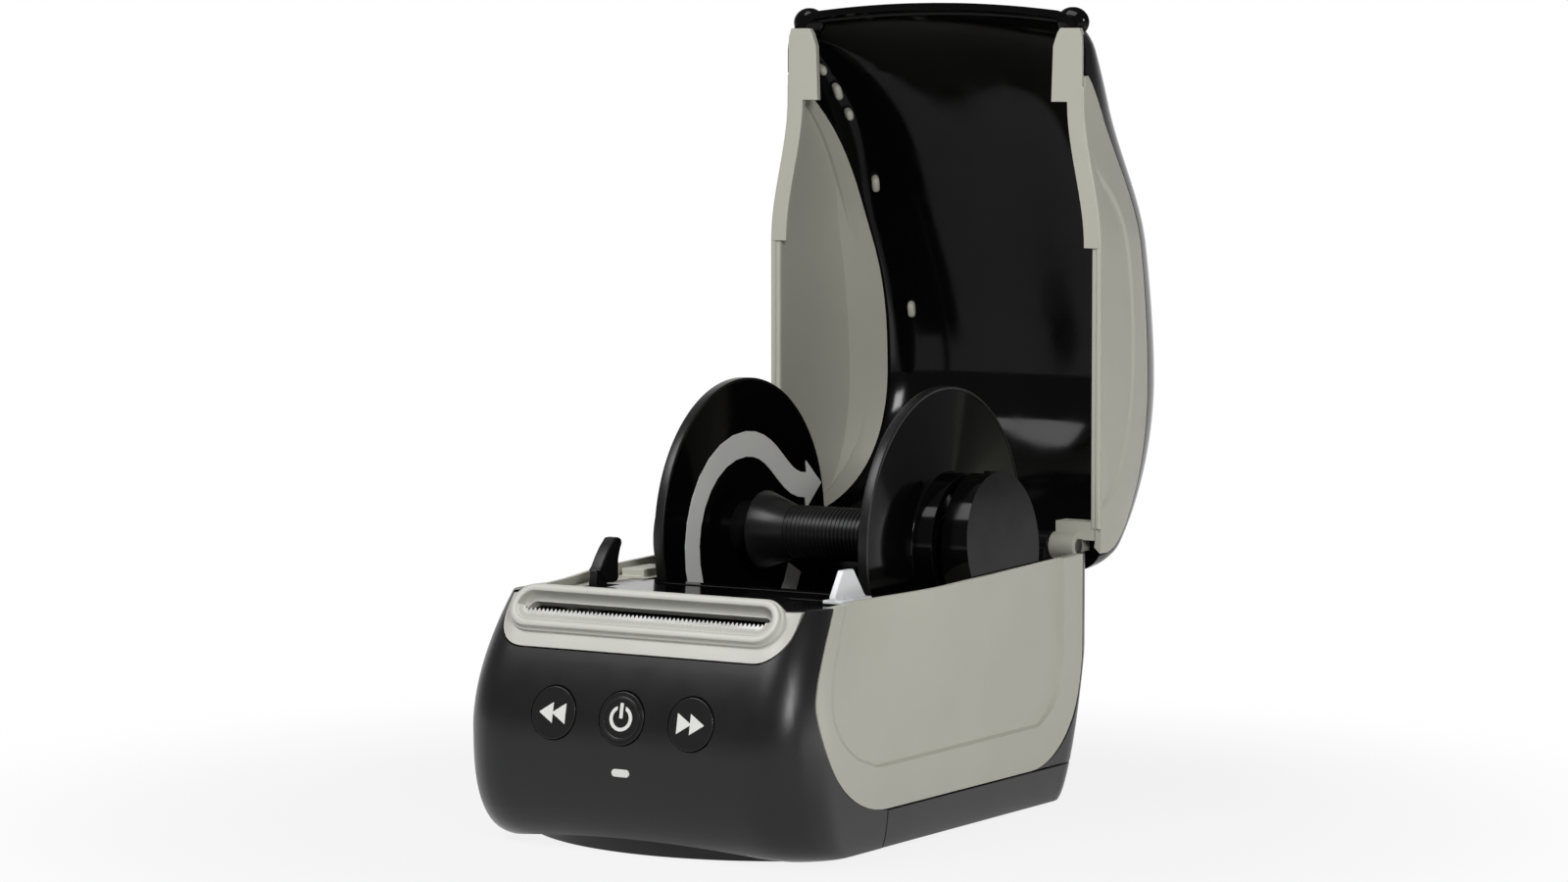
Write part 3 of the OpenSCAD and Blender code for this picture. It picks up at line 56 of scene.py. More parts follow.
# Sizes of the body, as in the part's source
BODY_W, FRONT, REAR = 127, 93.5, 91
BELLY_Z, RIM_FRONT, RIM_RISE, SKIRT_Z = 34, 77, 4, 1.5
FRONT_TUCK, SIDE_TUCK, REAR_TUCK, FRONT_LEAN, WAIST, FRONT_ARCH = 20, 4, 13, 17.5, 6.5, 3.6
CORNER_LOW, CORNER_TOP, REAR_CORNER = 19, 12, 11
WALL, SEAM, RECESS = 2.2, 0.5, 0.8
TUCK_POWER, LEAN_POWER, WAIST_POWER, TAIL_Z, TAIL_POWER = 2.5, 1.8, 1.6, 50, 1.2
WAIST_START, WAIST_END, SKIRT_BLEND = 5, 52, 0.6
HALF_BODY = BODY_W / 2
RIM_REAR = RIM_FRONT + RIM_RISE

# Side panels
PANEL_Z, PANEL_CURVE_H, PANEL_LEAN_POWER = 14, 34, 1.5
PANEL_FRONT, PANEL_FRONT_W = FRONT - 13.5, 39
PANEL_REAR, PANEL_REAR_W = REAR - 9.5, 33
PANEL_SETBACK, BORDER_W, REAR_BORDER, BORDER_H = 17.4, 6, 12, 13
PANEL_CURVE_Z = PANEL_Z + PANEL_CURVE_H
PANEL_FRONT_C = PANEL_FRONT - PANEL_FRONT_W
PANEL_REAR_C = PANEL_REAR - PANEL_REAR_W
RIM_RUN = PANEL_FRONT - PANEL_SETBACK + PANEL_REAR

# Bezel, and the ring round its slot, in a frame that leans back
BEZEL_HALF, BEZEL_R, BEZEL_Z = HALF_BODY - 10.5, 11, RIM_FRONT - 15.2
RING_TILT, RING_Z, RING_HALF, RING_R = 32, RIM_FRONT - 4.2, 49.4, 8
RING_BAND, RING_OUT, RING_DEPTH = 3.2, 2.6, 4
SILL_H, SLOT_HALF, BLADE_T, TOOTH_PITCH, TOOTH_H, TEETH, TIP_HALF = 1.4, 2.2, 0.5, 1.5, 1.1, 58, 0.12

# Buttons and lamp
BUTTON_PITCH, BUTTON_Z, BUTTON_R, BUTTON_GAP, BUTTON_TILT = 24.9, 43, 8, 0.35, 11
LAMP_Z, LAMP_W, LAMP_H = 26.4, 6.8, 2.8

# Spool and roll bay
SPOOL_Y, SPOOL_Z, FLANGE_X, FLANGE_R, FLANGE_T = REAR - 54, RIM_FRONT - 2 + 12.7, 38, 49.4, 3.2
AXLE_R, HUB_R, HUB_LEN, CONE_R, CONE_LEN, CORE_R = 4, 9.3, 7.5, 13, 11.5, 8.7
RIB_DEPTH, RIB_PITCH, CORE_END, COLLAR_R, COLLAR_LEN = 0.5, 1.5, 47, 22, 7.5
DECK_TOP, DECK_FRONT = 75.5, -68

# Lid, drawn open: distance from the hinge runs up and height above its edge runs to the rear
HINGE_Y, HINGE_Z, MATE_Y = REAR + 2, RIM_REAR + 1, 93.6
LID_LEN, LID_TAIL, LID_PEAK, LID_PEAK_AT, LID_SQUARE, LID_CORNER = 176, 8, 68.4, 52, 3.5, 12
LID_LIP, LID_BROW, LID_HEEL, LID_CROWN, LID_BLUNT, TAIL_ROUND = 16, 0.614, 0.5, 32, 0.1, 0.9
PANEL_A, PANEL_TAIL, PANEL_B, PANEL_AT = 106, 53.8, 56, 51
PANEL_END, PANEL_TAPER, PANEL_OUT, LID_BOW, BOW_SHARE = 9, 0.8, 0.64, 5, 0.3

# Sockets, room for the hinge, and how far cutting shapes stand out
SOCKET_Z, SOCKET_H, SOCKET_GAP, SOCKET_IN, CUT_OVER = 13.1, 11, 0.4, 30, 5
DATA_X, DATA_W, POWER_X, POWER_W = 4, 12, -24, 10
HINGE_CUT_X, HINGE_CUT_Y, HINGE_CUT_Z = HALF_BODY - 25.1, REAR - 4.5, HINGE_Z - 5.4


# Shape of the body

def unit(t):
    return min(1, max(0, t))


def ease(t):
    c = unit(t)
    return c * c * (3 - 2 * c)


def mix(a, b, t):
    return a + (b - a) * t


def spread(a, b, count, power=1):
    """Values from a to b, closer together at a where power is above 1."""
    return [mix(a, b, (k / count) ** power) for k in range(count + 1)]


def rim(y):
    return RIM_FRONT + RIM_RISE * unit((y + RIM_RUN - PANEL_REAR) / RIM_RUN)


def tuck(z):
    t = unit((BELLY_Z - z) / (BELLY_Z - SKIRT_Z + SKIRT_BLEND))
    return 1 - (1 - t ** TUCK_POWER) ** (1 / TUCK_POWER)


def rise(z):
    return max(0, z - BELLY_Z) / (RIM_FRONT - BELLY_Z)


def y_front(z):
    return -FRONT + (FRONT_TUCK * tuck(z) if z < BELLY_Z else FRONT_LEAN * rise(z) ** LEAN_POWER)


def y_rear(z):
    return REAR - REAR_TUCK * unit((TAIL_Z - z) / TAIL_Z) ** TAIL_POWER


def half_w(z, y):
    drawn = ease((-y - WAIST_START) / (WAIST_END - WAIST_START))
    return HALF_BODY - (SIDE_TUCK * tuck(z) if z < BELLY_Z else 0) - WAIST * rise(z) ** WAIST_POWER * drawn


def corner_r(z):
    return mix(CORNER_LOW, CORNER_TOP, unit(rise(z)))


def x_body(y, z, g):
    """Half width of the casing at depth y and height z, drawn in by g."""
    yf, yr = y_front(z) + g, y_rear(z) - g
    r, q = corner_r(z) - g, REAR_CORNER - g
    if y < yf + r:
        return half_w(z, yf) - g - r + sqrt(max(0, r * r - (yf + r - y) ** 2))
    if y > yr - q:
        return half_w(z, y) - g - q + sqrt(max(0, q * q - (y - yr + q) ** 2))
    return half_w(z, y) - g


def front_wrap(d, z, g):
    """Point at distance d round the front from its centre line."""
    flat, r, yf = half_w(z, y_front(z)) - corner_r(z), corner_r(z) - g, y_front(z) + g
    if d < flat:
        return d, yf, z
    turn = (d - flat) / r
    if turn < pi / 2:
        return flat + r * sin(turn), yf + r * (1 - cos(turn)), z
    y = yf + r + d - flat - r * pi / 2
    return half_w(z, y) - g, y, z


def front_length(y, z, g=0):
    """Distance round the front at which depth y is reached."""
    flat, r, yf = half_w(z, y_front(z)) - corner_r(z), corner_r(z) - g, y_front(z) + g
    if y < yf + r:
        return flat + r * acos(unit((yf + r - y) / r))
    return flat + r * pi / 2 + y - yf - r


def rear_wrap(d, z, g):
    """Point at distance d round the rear from its centre line."""
    q, yr = REAR_CORNER - g, y_rear(z) - g
    flat = half_w(z, yr) - REAR_CORNER
    if d < flat:
        return d, yr, z
    turn = (d - flat) / q
    if turn < pi / 2:
        return flat + q * sin(turn), yr - q * (1 - cos(turn)), z
    y = yr - q - d + flat + q * pi / 2
    return half_w(z, y) - g, y, z


def rear_length(y, z, g):
    q, yr = REAR_CORNER - g, y_rear(z) - g
    flat = half_w(z, yr) - REAR_CORNER
    if y > yr - q:
        return flat + q * acos(unit((y - yr + q) / q))
    return flat + q * pi / 2 + yr - q - y


def curve_part(z, height):
    return sqrt(max(0, 1 - unit((PANEL_CURVE_Z - z) / height) ** 2))


def edge_front(z):
    if z < PANEL_CURVE_Z:
        return -PANEL_FRONT_C - PANEL_FRONT_W * curve_part(z, PANEL_CURVE_H)
    over = (z - PANEL_CURVE_Z) / (RIM_FRONT - PANEL_CURVE_Z)
    return -PANEL_FRONT + PANEL_SETBACK * over ** PANEL_LEAN_POWER


def edge_rear(z):
    return PANEL_REAR_C + PANEL_REAR_W * curve_part(z, PANEL_CURVE_H)


def field_front(z):
    inner = -PANEL_FRONT_C - (PANEL_FRONT_W - BORDER_W) * curve_part(z, PANEL_CURVE_H - BORDER_H)
    return max(edge_front(z) + BORDER_W, inner)


def field_rear(z):
    inner = PANEL_REAR_C + (PANEL_REAR_W - REAR_BORDER) * curve_part(z, PANEL_CURVE_H - BORDER_H)
    return min(edge_rear(z) - REAR_BORDER, inner)


# Materials

NOISE_LOW, NOISE_HIGH = 0.3, 0.7
DRIFT_SCALE, DRIFT_DETAIL = 35, 3
ROUGH_SCALE, ROUGH_DETAIL = 90, 4
GRAIN_DETAIL, BUMP_STRENGTH = 2, 0.5
SHARP_ANGLE = 30

# Places of the colour sockets on a mix node
MIX_SHARE, MIX_A, MIX_B, MIX_RESULT = 0, 6, 7, 2


def node_of(tree, kind, **settings):
    node = tree.nodes.new(kind)
    for key, value in settings.items():
        setattr(node, key, value)
    return node


def noise(tree, place, scale, detail):
    node = node_of(tree, "ShaderNodeTexNoise")
    node.inputs["Scale"].default_value = scale
    node.inputs["Detail"].default_value = detail
    tree.links.new(place, node.inputs["Vector"])
    return node.outputs["Fac"]


def ranged(tree, value, low, high, start=NOISE_LOW, end=NOISE_HIGH, kind="LINEAR"):
    """Runs from low to high while a value runs from start to end."""
    node = node_of(tree, "ShaderNodeMapRange", interpolation_type=kind)
    limits = {"From Min": start, "From Max": end, "To Min": low, "To Max": high}
    for socket, limit in limits.items():
        node.inputs[socket].default_value = limit
    tree.links.new(value, node.inputs["Value"])
    return node.outputs["Result"]


def tinted(tree, value, dark, light):
    node = node_of(tree, "ShaderNodeMix", data_type="RGBA")
    node.inputs[MIX_A].default_value = (*dark, 1)
    node.inputs[MIX_B].default_value = (*light, 1)
    tree.links.new(value, node.inputs[MIX_SHARE])
    return node.outputs[MIX_RESULT]


def surface(name, colour, rough, grain=(2500, 2e-5), vary=0.06, stretch=(1, 1, 1), **sockets):
    """Moulded, drawn or printed surface: colour and roughness drift, and a fine grain stands out.

    rough is the lowest and highest roughness, grain is the grain's scale per metre and its depth in metres.
    """
    material = bpy.data.materials.new(name)
    material.use_nodes = True
    tree = material.node_tree
    shader = tree.nodes["Principled BSDF"]
    coordinates = node_of(tree, "ShaderNodeTexCoord")
    mapping = node_of(tree, "ShaderNodeMapping")
    mapping.inputs["Scale"].default_value = stretch
    tree.links.new(coordinates.outputs["Object"], mapping.inputs["Vector"])
    place = mapping.outputs["Vector"]
    drift = ranged(tree, noise(tree, place, DRIFT_SCALE, DRIFT_DETAIL), 0, 1)
    dark = [c * (1 - vary) for c in colour]
    light = [min(1, c * (1 + vary)) for c in colour]
    tree.links.new(tinted(tree, drift, dark, light), shader.inputs["Base Color"])
    wear = ranged(tree, noise(tree, place, ROUGH_SCALE, ROUGH_DETAIL), *rough)
    tree.links.new(wear, shader.inputs["Roughness"])
    bump = node_of(tree, "ShaderNodeBump")
    bump.inputs["Strength"].default_value = BUMP_STRENGTH
    bump.inputs["Distance"].default_value = grain[1]
    tree.links.new(noise(tree, place, grain[0], GRAIN_DETAIL), bump.inputs["Height"])
    tree.links.new(bump.outputs["Normal"], shader.inputs["Normal"])
    for socket, value in sockets.items():
        shader.inputs[socket.replace("_", " ")].default_value = value
    return material


LOOKS = {
    "charcoal": dict(colour=(0.007, 0.007, 0.0072), rough=(0.28, 0.35), grain=(2600, 2.5e-5),
                     Specular_IOR_Level=0.38),
    "gloss_black": dict(colour=(0.002, 0.002, 0.0022), rough=(0.07, 0.13), grain=(900, 3e-6),
                        Specular_IOR_Level=0.13),
    "warm_grey": dict(colour=(0.48, 0.478, 0.41), rough=(0.4, 0.5), grain=(2600, 2e-5), vary=0.02),
    "pale_grey": dict(colour=(0.53, 0.53, 0.485), rough=(0.3, 0.4), grain=(2600, 1.2e-5), vary=0.02),
    "off_white": dict(colour=(0.84, 0.84, 0.81), rough=(0.3, 0.4), grain=(2000, 1e-5), vary=0.02),
    "guide_white": dict(colour=(0.78, 0.8, 0.81), rough=(0.2, 0.28), grain=(1500, 8e-6), vary=0.02),
    "steel": dict(colour=(0.42, 0.42, 0.42), rough=(0.4, 0.55), grain=(1500, 1e-5), vary=0.1,
                  stretch=(0.06, 1, 1), Metallic=1),
    "blade_steel": dict(colour=(0.3, 0.3, 0.29), rough=(0.4, 0.55), vary=0.1, Metallic=1),
    "brass": dict(colour=(0.6, 0.42, 0.14), rough=(0.25, 0.4), grain=(1500, 1e-5), vary=0.1, Metallic=1),
    "rubber": dict(colour=(0.018, 0.018, 0.018), rough=(0.75, 0.9), grain=(3000, 5e-5)),
    "board": dict(colour=(0.02, 0.11, 0.045), rough=(0.3, 0.45), grain=(700, 3e-5), vary=0.3),
    "motor": dict(colour=(0.12, 0.12, 0.13), rough=(0.35, 0.5), grain=(1800, 2e-5), vary=0.1,
                  Metallic=0.8),
    "ceramic": dict(colour=(0.6, 0.54, 0.42), rough=(0.3, 0.45), grain=(2200, 1e-5)),
    "parts": dict(colour=(0.02, 0.02, 0.022), rough=(0.45, 0.6), grain=(1800, 2e-5)),
}
FINISH = {name: surface(name, **look) for name, look in LOOKS.items()}
NODE_FINISH = {
    "charcoal": "plinth floor_plate base_skirt rear_panel front_shell hinge_lugs release_lever back_button"
                " power_button feed_button",
    "gloss_black": "roll_well feed_deck left_cradle right_cradle power_socket lid_hood spool_spindle"
                   " left_flange right_flange",
    "warm_grey": "left_side_panel right_side_panel left_ledge right_ledge lid_left_panel lid_right_panel"
                 " lid_strips lid_ears",
    "pale_grey": "front_bezel",
    "off_white": "feed_arrow back_icon power_icon feed_icon status_lamp platen_gear idler_gear",
    "guide_white": "label_guide",
    "steel": "tear_blade data_socket mechanism_plates cross_bar idler_pin head_pivot_rod lever_pin"
             " button_bracket case_screws hinge_pins spool_axle platen_shaft head_bracket head_springs",
    "brass": "platen_bushes motor_pinion",
    "rubber": "rubber_feet platen_roller",
    "board": "main_board button_board",
    "motor": "drive_motor",
    "ceramic": "print_head",
    "parts": "board_parts button_switches",
}
FINISH_OF = {name: finish for finish, names in NODE_FINISH.items() for name in names.split()}
for name, finish in FINISH_OF.items():
    mesh = nodes[name].data
    mesh.materials.clear()
    mesh.materials.append(FINISH[finish])
    mesh.shade_smooth()
    mesh.set_sharp_from_angle(angle=radians(SHARP_ANGLE))


# Making pieces

SIDES = ("right", 1), ("left", -1)
WELD, FLAT_ANGLE, ROUND_STEPS, NORMAL_WEIGHT = 0.002, 0.4, 3, 60


def solid(name, points, faces):
    """Mesh from points in millimetres, with its faces turned outwards."""
    mesh = bpy.data.meshes.new(name)
    mesh.from_pydata([[c * MM for c in p] for p in points], [], faces)
    piece = bpy.data.objects.new(name, mesh)
    bpy.context.scene.collection.objects.link(piece)
    clean(piece)
    return piece


def clean(piece, flat_angle=None):
    """Welds points that meet and, where a flat angle is given, joins faces that lie within it."""
    bm = bmesh.new()
    bm.from_mesh(piece.data)
    bmesh.ops.remove_doubles(bm, verts=bm.verts, dist=WELD * MM)
    bmesh.ops.dissolve_degenerate(bm, edges=bm.edges, dist=WELD * MM)
    if flat_angle:
        bmesh.ops.dissolve_limit(bm, angle_limit=radians(flat_angle), verts=bm.verts, edges=bm.edges)
    bmesh.ops.recalc_face_normals(bm, faces=bm.faces)
    bm.to_mesh(piece.data)
    bm.free()


def cad_copy(name, node):
    """Copy of a CAD node's mesh with its flat faces made whole, ready for rounded edges."""
    piece = bpy.data.objects.new(name, nodes[node].data.copy())
    bpy.context.scene.collection.objects.link(piece)
    clean(piece, FLAT_ANGLE)
    return piece


def dress(piece, finish, body, *replaced, bevel, angle=35):
    """Gives a piece its finish, rounded edges and body, and hides the CAD nodes that it stands for."""
    piece.data.materials.clear()
    piece.data.materials.append(FINISH[finish])
    piece.data.shade_smooth()
    if bevel:
        rounding = piece.modifiers.new("rounding", "BEVEL")
        rounding.width = bevel * MM
        rounding.segments = ROUND_STEPS
        rounding.limit_method = "ANGLE"
        rounding.angle_limit = radians(angle)
        rounding.miter_outer = "MITER_ARC"
        normals = piece.modifiers.new("normals", "WEIGHTED_NORMAL")
        normals.weight = NORMAL_WEIGHT
    else:
        piece.data.set_sharp_from_angle(angle=radians(angle))
    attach(piece, body)
    if replaced:
        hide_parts(*replaced)
    return piece


def unrounded(name, shape, finish, body, *replaced, angle=40):
    """Dressed piece whose edges are soft already or too fine to round."""
    return dress(solid(name, *shape), finish, body, *replaced, bevel=0, angle=angle)


def slab(outer, inner):
    """Closed shell between two grids of points with the same rows and columns."""
    rows, cols = len(outer), len(outer[0])
    points = [p for row in outer + inner for p in row]
    half = rows * cols
    faces = []
    for i in range(rows - 1):
        for j in range(cols - 1):
            a = i * cols + j
            quad = (a, a + 1, a + cols + 1, a + cols)
            faces += [quad, tuple(half + k for k in reversed(quad))]
    edge = [*range(cols), *range(2 * cols - 1, half, cols), *range(half - 2, half - cols - 1, -1),
            *range(half - 2 * cols, 0, -cols)]
    for a, b in zip(edge, edge[1:] + edge[:1]):
        faces.append((a, half + a, half + b, b))
    return points, faces


def loops(rings, closed=True):
    """Closed solid through rings of points, joined end to end or capped."""
    n = len(rings[0])
    points = [p for ring in rings for p in ring]
    faces = []
    for i in range(len(rings) if closed else len(rings) - 1):
        here, there = i * n, (i + 1) % len(rings) * n
        faces += [(here + k, here + (k + 1) % n, there + (k + 1) % n, there + k) for k in range(n)]
    if not closed:
        faces += [tuple(range(n)), tuple(range(len(points) - n, len(points)))]
    return points, faces


def joined(shapes):
    """Points and faces of several closed shapes as one."""
    points, faces = [], []
    for shape_points, shape_faces in shapes:
        faces += [tuple(len(points) + k for k in face) for face in shape_faces]
        points += shape_points
    return points, faces


def mirrored(points):
    return [(-p[0], p[1], p[2]) for p in points]


def both_sides(grids):
    """Grids of the right side, and of the left side as their mirror image."""
    return ("right", grids), ("left", [[mirrored(row) for row in grid] for grid in grids])


def circle(r, count=64):
    return [(r * cos(2 * pi * k / count), r * sin(2 * pi * k / count)) for k in range(count)]


def stadium(half_length, r, count=16):
    """Outline with straight sides and round ends."""
    ends = [(half_length - r, -90), (r - half_length, 90)]
    turns = [(x, radians(a + 180 * k / count)) for x, a in ends for k in range(count + 1)]
    return [(x + r * cos(a), r * sin(a)) for x, a in turns]


def along_y(outline, x, z, y0, y1):
    return loops([[(x + a, y, z + b) for a, b in outline] for y in (y0, y1)], closed=False)


def block(x0, x1, y0, y1, z0, z1):
    corners = [(x0, z0), (x1, z0), (x1, z1), (x0, z1)]
    return loops([[(x, y, z) for x, z in corners] for y in (y0, y1)], closed=False)


def cut(piece, shapes):
    """Takes closed shapes out of a piece."""
    cutters = [solid(f"cutter_{k}", *shape) for k, shape in enumerate(shapes)]
    for cutter in cutters:
        taken = piece.modifiers.new("cut", "BOOLEAN")
        taken.object = cutter
        taken.operation = "DIFFERENCE"
        taken.solver = "EXACT"
    bpy.context.view_layer.update()
    result = bpy.data.meshes.new_from_object(piece.evaluated_get(bpy.context.evaluated_depsgraph_get()))
    piece.modifiers.clear()
    piece.data = result
    for cutter in cutters:
        bpy.data.objects.remove(cutter)


def lathe(profile, sides):
    """Solid turned about the spool's axis from a closed outline of (x, radius)."""
    turns = [2 * pi * k / sides for k in range(sides)]
    return loops([[(x, SPOOL_Y + r * cos(a), SPOOL_Z + r * sin(a)) for x, r in profile] for a in turns])


def tube(path, r, sides=12):
    """Round bar along a path of points."""
    rings = []
    for k, p in enumerate(path):
        ahead = Vector(path[min(k + 1, len(path) - 1)]) - Vector(path[max(k - 1, 0)])
        turn = ahead.to_track_quat("Z", "Y")
        rings.append([tuple(Vector(p) + turn @ Vector((a, b, 0))) for a, b in circle(r, sides)])
    return loops(rings, closed=False)


# Casing: skirt, rear, front and side panels

SKIRT_LEVELS = spread(SKIRT_Z, PANEL_Z - SEAM, 7, power=1.3)
CURVE_LEVELS = [PANEL_CURVE_Z - PANEL_CURVE_H * cos(radians(a)) for a in range(6, 91, 6)]
SKIRT_KNEE, REAR_KNEE = 90, 30


def rear_row(end, z, g, knee):
    """Row of points round the rear between the two seams, with its knee at an angle of the corner."""
    flat = half_w(z, y_rear(z) - g) - REAR_CORNER
    bend, total = flat + (REAR_CORNER - g) * radians(knee), rear_length(end, z, g)
    stops = spread(0, flat, 8)[:-1] + spread(flat, bend, 10)[:-1] + spread(bend, total, 12)
    right = [rear_wrap(d, z, g) for d in stops]
    return right[:0:-1] + mirrored(right)


def skirt_grid(g):
    return [rear_row(-PANEL_FRONT_C + SEAM / 2, z, g, SKIRT_KNEE) for z in SKIRT_LEVELS]


def rear_grid(g):
    levels = [PANEL_Z] + CURVE_LEVELS + spread(PANEL_CURVE_Z, RIM_REAR, 10)[1:]
    return [rear_row(edge_rear(z) + SEAM, z, g, REAR_KNEE) for z in levels]


socket_holes = [block(x - w / 2 - SOCKET_GAP, x + w / 2 + SOCKET_GAP, REAR - SOCKET_IN, REAR + CUT_OVER,
                      SOCKET_Z - SOCKET_GAP, SOCKET_Z + SOCKET_H + SOCKET_GAP)
                for x, w in ((DATA_X, DATA_W), (POWER_X, POWER_W))]
skirt = solid("base_skirt_form", *slab(skirt_grid(0), skirt_grid(WALL)))
cut(skirt, socket_holes)
dress(skirt, "charcoal", "body", "base_skirt", bevel=0.25)

rear = solid("rear_panel_form", *slab(rear_grid(0), rear_grid(WALL)))
hinge_cuts = [block(x, x + BODY_W, HINGE_CUT_Y, REAR + CUT_OVER, HINGE_CUT_Z, BODY_W)
              for x in (-HINGE_CUT_X - BODY_W, HINGE_CUT_X)]
cut(rear, socket_holes + hinge_cuts)
dress(rear, "charcoal", "body", "rear_panel", bevel=0.25)

CORNER_D = BEZEL_HALF + 2 * SEAM
CORNER_SPREAD, ARCH_SHARE = 0.19, 0.81
ARCH_HALF = ARCH_SHARE * CORNER_D
FRONT_REF = front_length(edge_front(RIM_FRONT) - SEAM, RIM_FRONT)
BEZEL_STEPS = [BEZEL_HALF - BEZEL_R + (BEZEL_R + SEAM) * sin(radians(a)) for a in range(0, 80, 8)]
FRONT_STOPS = (spread(0, BEZEL_STEPS[0], 14)[:-1] + BEZEL_STEPS + [BEZEL_HALF + SEAM]
               + spread(CORNER_D, FRONT_REF, 14))
FRONT_LEVELS = SKIRT_LEVELS + CURVE_LEVELS + spread(PANEL_CURVE_Z, RIM_FRONT, 12)[1:]


def bezel_edge(d, grown=0):
    """Lower edge of the bezel at distance d from the centre line."""
    return BEZEL_Z + BEZEL_R - sqrt(max(0, (BEZEL_R + grown) ** 2 - max(0, d - BEZEL_HALF + BEZEL_R) ** 2))


def front_low(d):
    """Lower edge of the front, which arches over the plinth."""
    return SKIRT_Z + FRONT_ARCH * max(0, 1 - (d / ARCH_HALF) ** 2)


def front_point(level, d, g):
    """Point of the front at a level below the bezel or rim and distance d from the centre line."""
    if d > BEZEL_HALF + 1.5 * SEAM:
        top = RIM_FRONT
    else:
        top = BEZEL_Z + BEZEL_R if d > BEZEL_HALF + SEAM / 2 else bezel_edge(d, SEAM)
    z = front_low(d) + (level - SKIRT_Z) * (top - front_low(d)) / (RIM_FRONT - SKIRT_Z)
    end = -PANEL_FRONT_C - SEAM / 2 if z < PANEL_Z else edge_front(z) - SEAM
    widened = 1 + CORNER_SPREAD * unit((BEZEL_Z - z) / (BEZEL_Z - BELLY_Z))
    if d <= CORNER_D:
        return front_wrap(d * widened, z, g)
    knee = CORNER_D * widened
    return front_wrap(mix(knee, front_length(end, z, g), (d - CORNER_D) / (FRONT_REF - CORNER_D)), z, g)


def front_grid(g):
    rows = [[front_point(level, d, g) for d in FRONT_STOPS] for level in FRONT_LEVELS]
    return [mirrored(row[:0:-1]) + row for row in rows]


shell = solid("front_shell_form", *slab(front_grid(0), front_grid(WALL)))
KEY_CUT, LAMP_CUT = 15 - FRONT, 20 - FRONT
cut_y = -FRONT - CUT_OVER
key_hole = circle(BUTTON_R + BUTTON_GAP)
holes = [along_y(key_hole, k * BUTTON_PITCH, BUTTON_Z, cut_y, KEY_CUT) for k in (-1, 0, 1)]
holes.append(along_y(stadium(LAMP_W / 2, LAMP_H / 2), 0, LAMP_Z, cut_y, LAMP_CUT))
cut(shell, holes)
dress(shell, "charcoal", "body", "front_shell", bevel=0.22)

DISH, DISH_LIP, LIP_RUN, FRONT_RUN = 2.4, 1.5, 0.8, 5
DISH_RUN, DISH_LOW, LIP_STEPS = 64, 34, (1, 0.6, 0.3, 0)
FIELD_LEVELS = [PANEL_CURVE_Z - (PANEL_CURVE_H - BORDER_H) * cos(radians(a)) for a in (0, 5, 10, 16)]


def dish(y, z):
    """Depth of the shallow field at a place on the side panel."""
    back, ahead, up = field_rear(z) - y, y - field_front(z), z - PANEL_Z - BORDER_H
    deep = DISH_LIP + (DISH - DISH_LIP) * ease(1 - back / DISH_RUN) * ease(up / DISH_LOW)
    return deep * min(ease(min(back, up) / LIP_RUN), ease(ahead / FRONT_RUN))


def panel_row(z):
    """Depths across the side panel at height z, closer together where the field starts and ends."""
    f0, f1, r1, r0 = edge_front(z), field_front(z), field_rear(z), edge_rear(z)
    inside = spread(f1, f1 + FRONT_RUN, 8) + spread(f1 + FRONT_RUN, r1 - LIP_RUN, 22)[1:-1]
    return spread(f0, f1, 4)[:-1] + inside + [r1 - LIP_RUN * t for t in LIP_STEPS] + spread(r1, r0, 4)[1:]


def panel_grid(g, dished):
    levels = sorted([PANEL_Z] + CURVE_LEVELS + FIELD_LEVELS + spread(PANEL_CURVE_Z, RIM_FRONT, 10)[1:])
    grid = []
    for z in levels:
        row = []
        for y in panel_row(z):
            h = PANEL_Z + (z - PANEL_Z) * (rim(y) - PANEL_Z) / (RIM_FRONT - PANEL_Z)
            row.append((x_body(y, h, g + (dish(y, z) if dished else 0)), y, h))
        grid.append(row)
    return grid


for side, grids in both_sides([panel_grid(0, True), panel_grid(WALL + RECESS, False)]):
    panel = solid(f"{side}_side_panel_form", *slab(*grids))
    dress(panel, "warm_grey", "body", f"{side}_side_panel", bevel=0.4, angle=50)


# Bezel: skin, raised ring with its step, cove, ribbed ramp and blade

RING_UP = Vector((0, cos(radians(90 - RING_TILT)), sin(radians(90 - RING_TILT))))
RING_NORMAL = Vector((0, -RING_UP.z, RING_UP.y))
RING_AT = Vector((0, y_front(RING_Z), RING_Z))
BEZEL_DROP = 0.6
BEZEL_TOP = RIM_FRONT - BEZEL_DROP


def on_ring(x, y, h):
    return tuple(RING_AT + Vector((x, 0, 0)) + RING_UP * y + RING_NORMAL * h)


def ring_loop(inset, h):
    return [on_ring(x, y, h) for x, y in stadium(RING_HALF - inset, RING_R - inset, 24)]


def bezel_grid(g):
    right = spread(0, BEZEL_HALF - BEZEL_R, 14)[:-1]
    right += [BEZEL_HALF - BEZEL_R + BEZEL_R * sin(radians(a)) for a in range(0, 91, 9)]
    rows = []
    for v in spread(0, 1, 10):
        row = [front_wrap(d, mix(bezel_edge(d), BEZEL_TOP, v), g) for d in right]
        rows.append(mirrored(row[:0:-1]) + row)
    return rows


skin = solid("bezel_skin", *slab(bezel_grid(0), bezel_grid(WALL)))
cut(skin, [loops([ring_loop(RING_BAND / 2, h) for h in (-3 * RING_DEPTH, 2 * RING_DEPTH)], closed=False)])
dress(skin, "pale_grey", "body", "front_bezel", bevel=0.35)

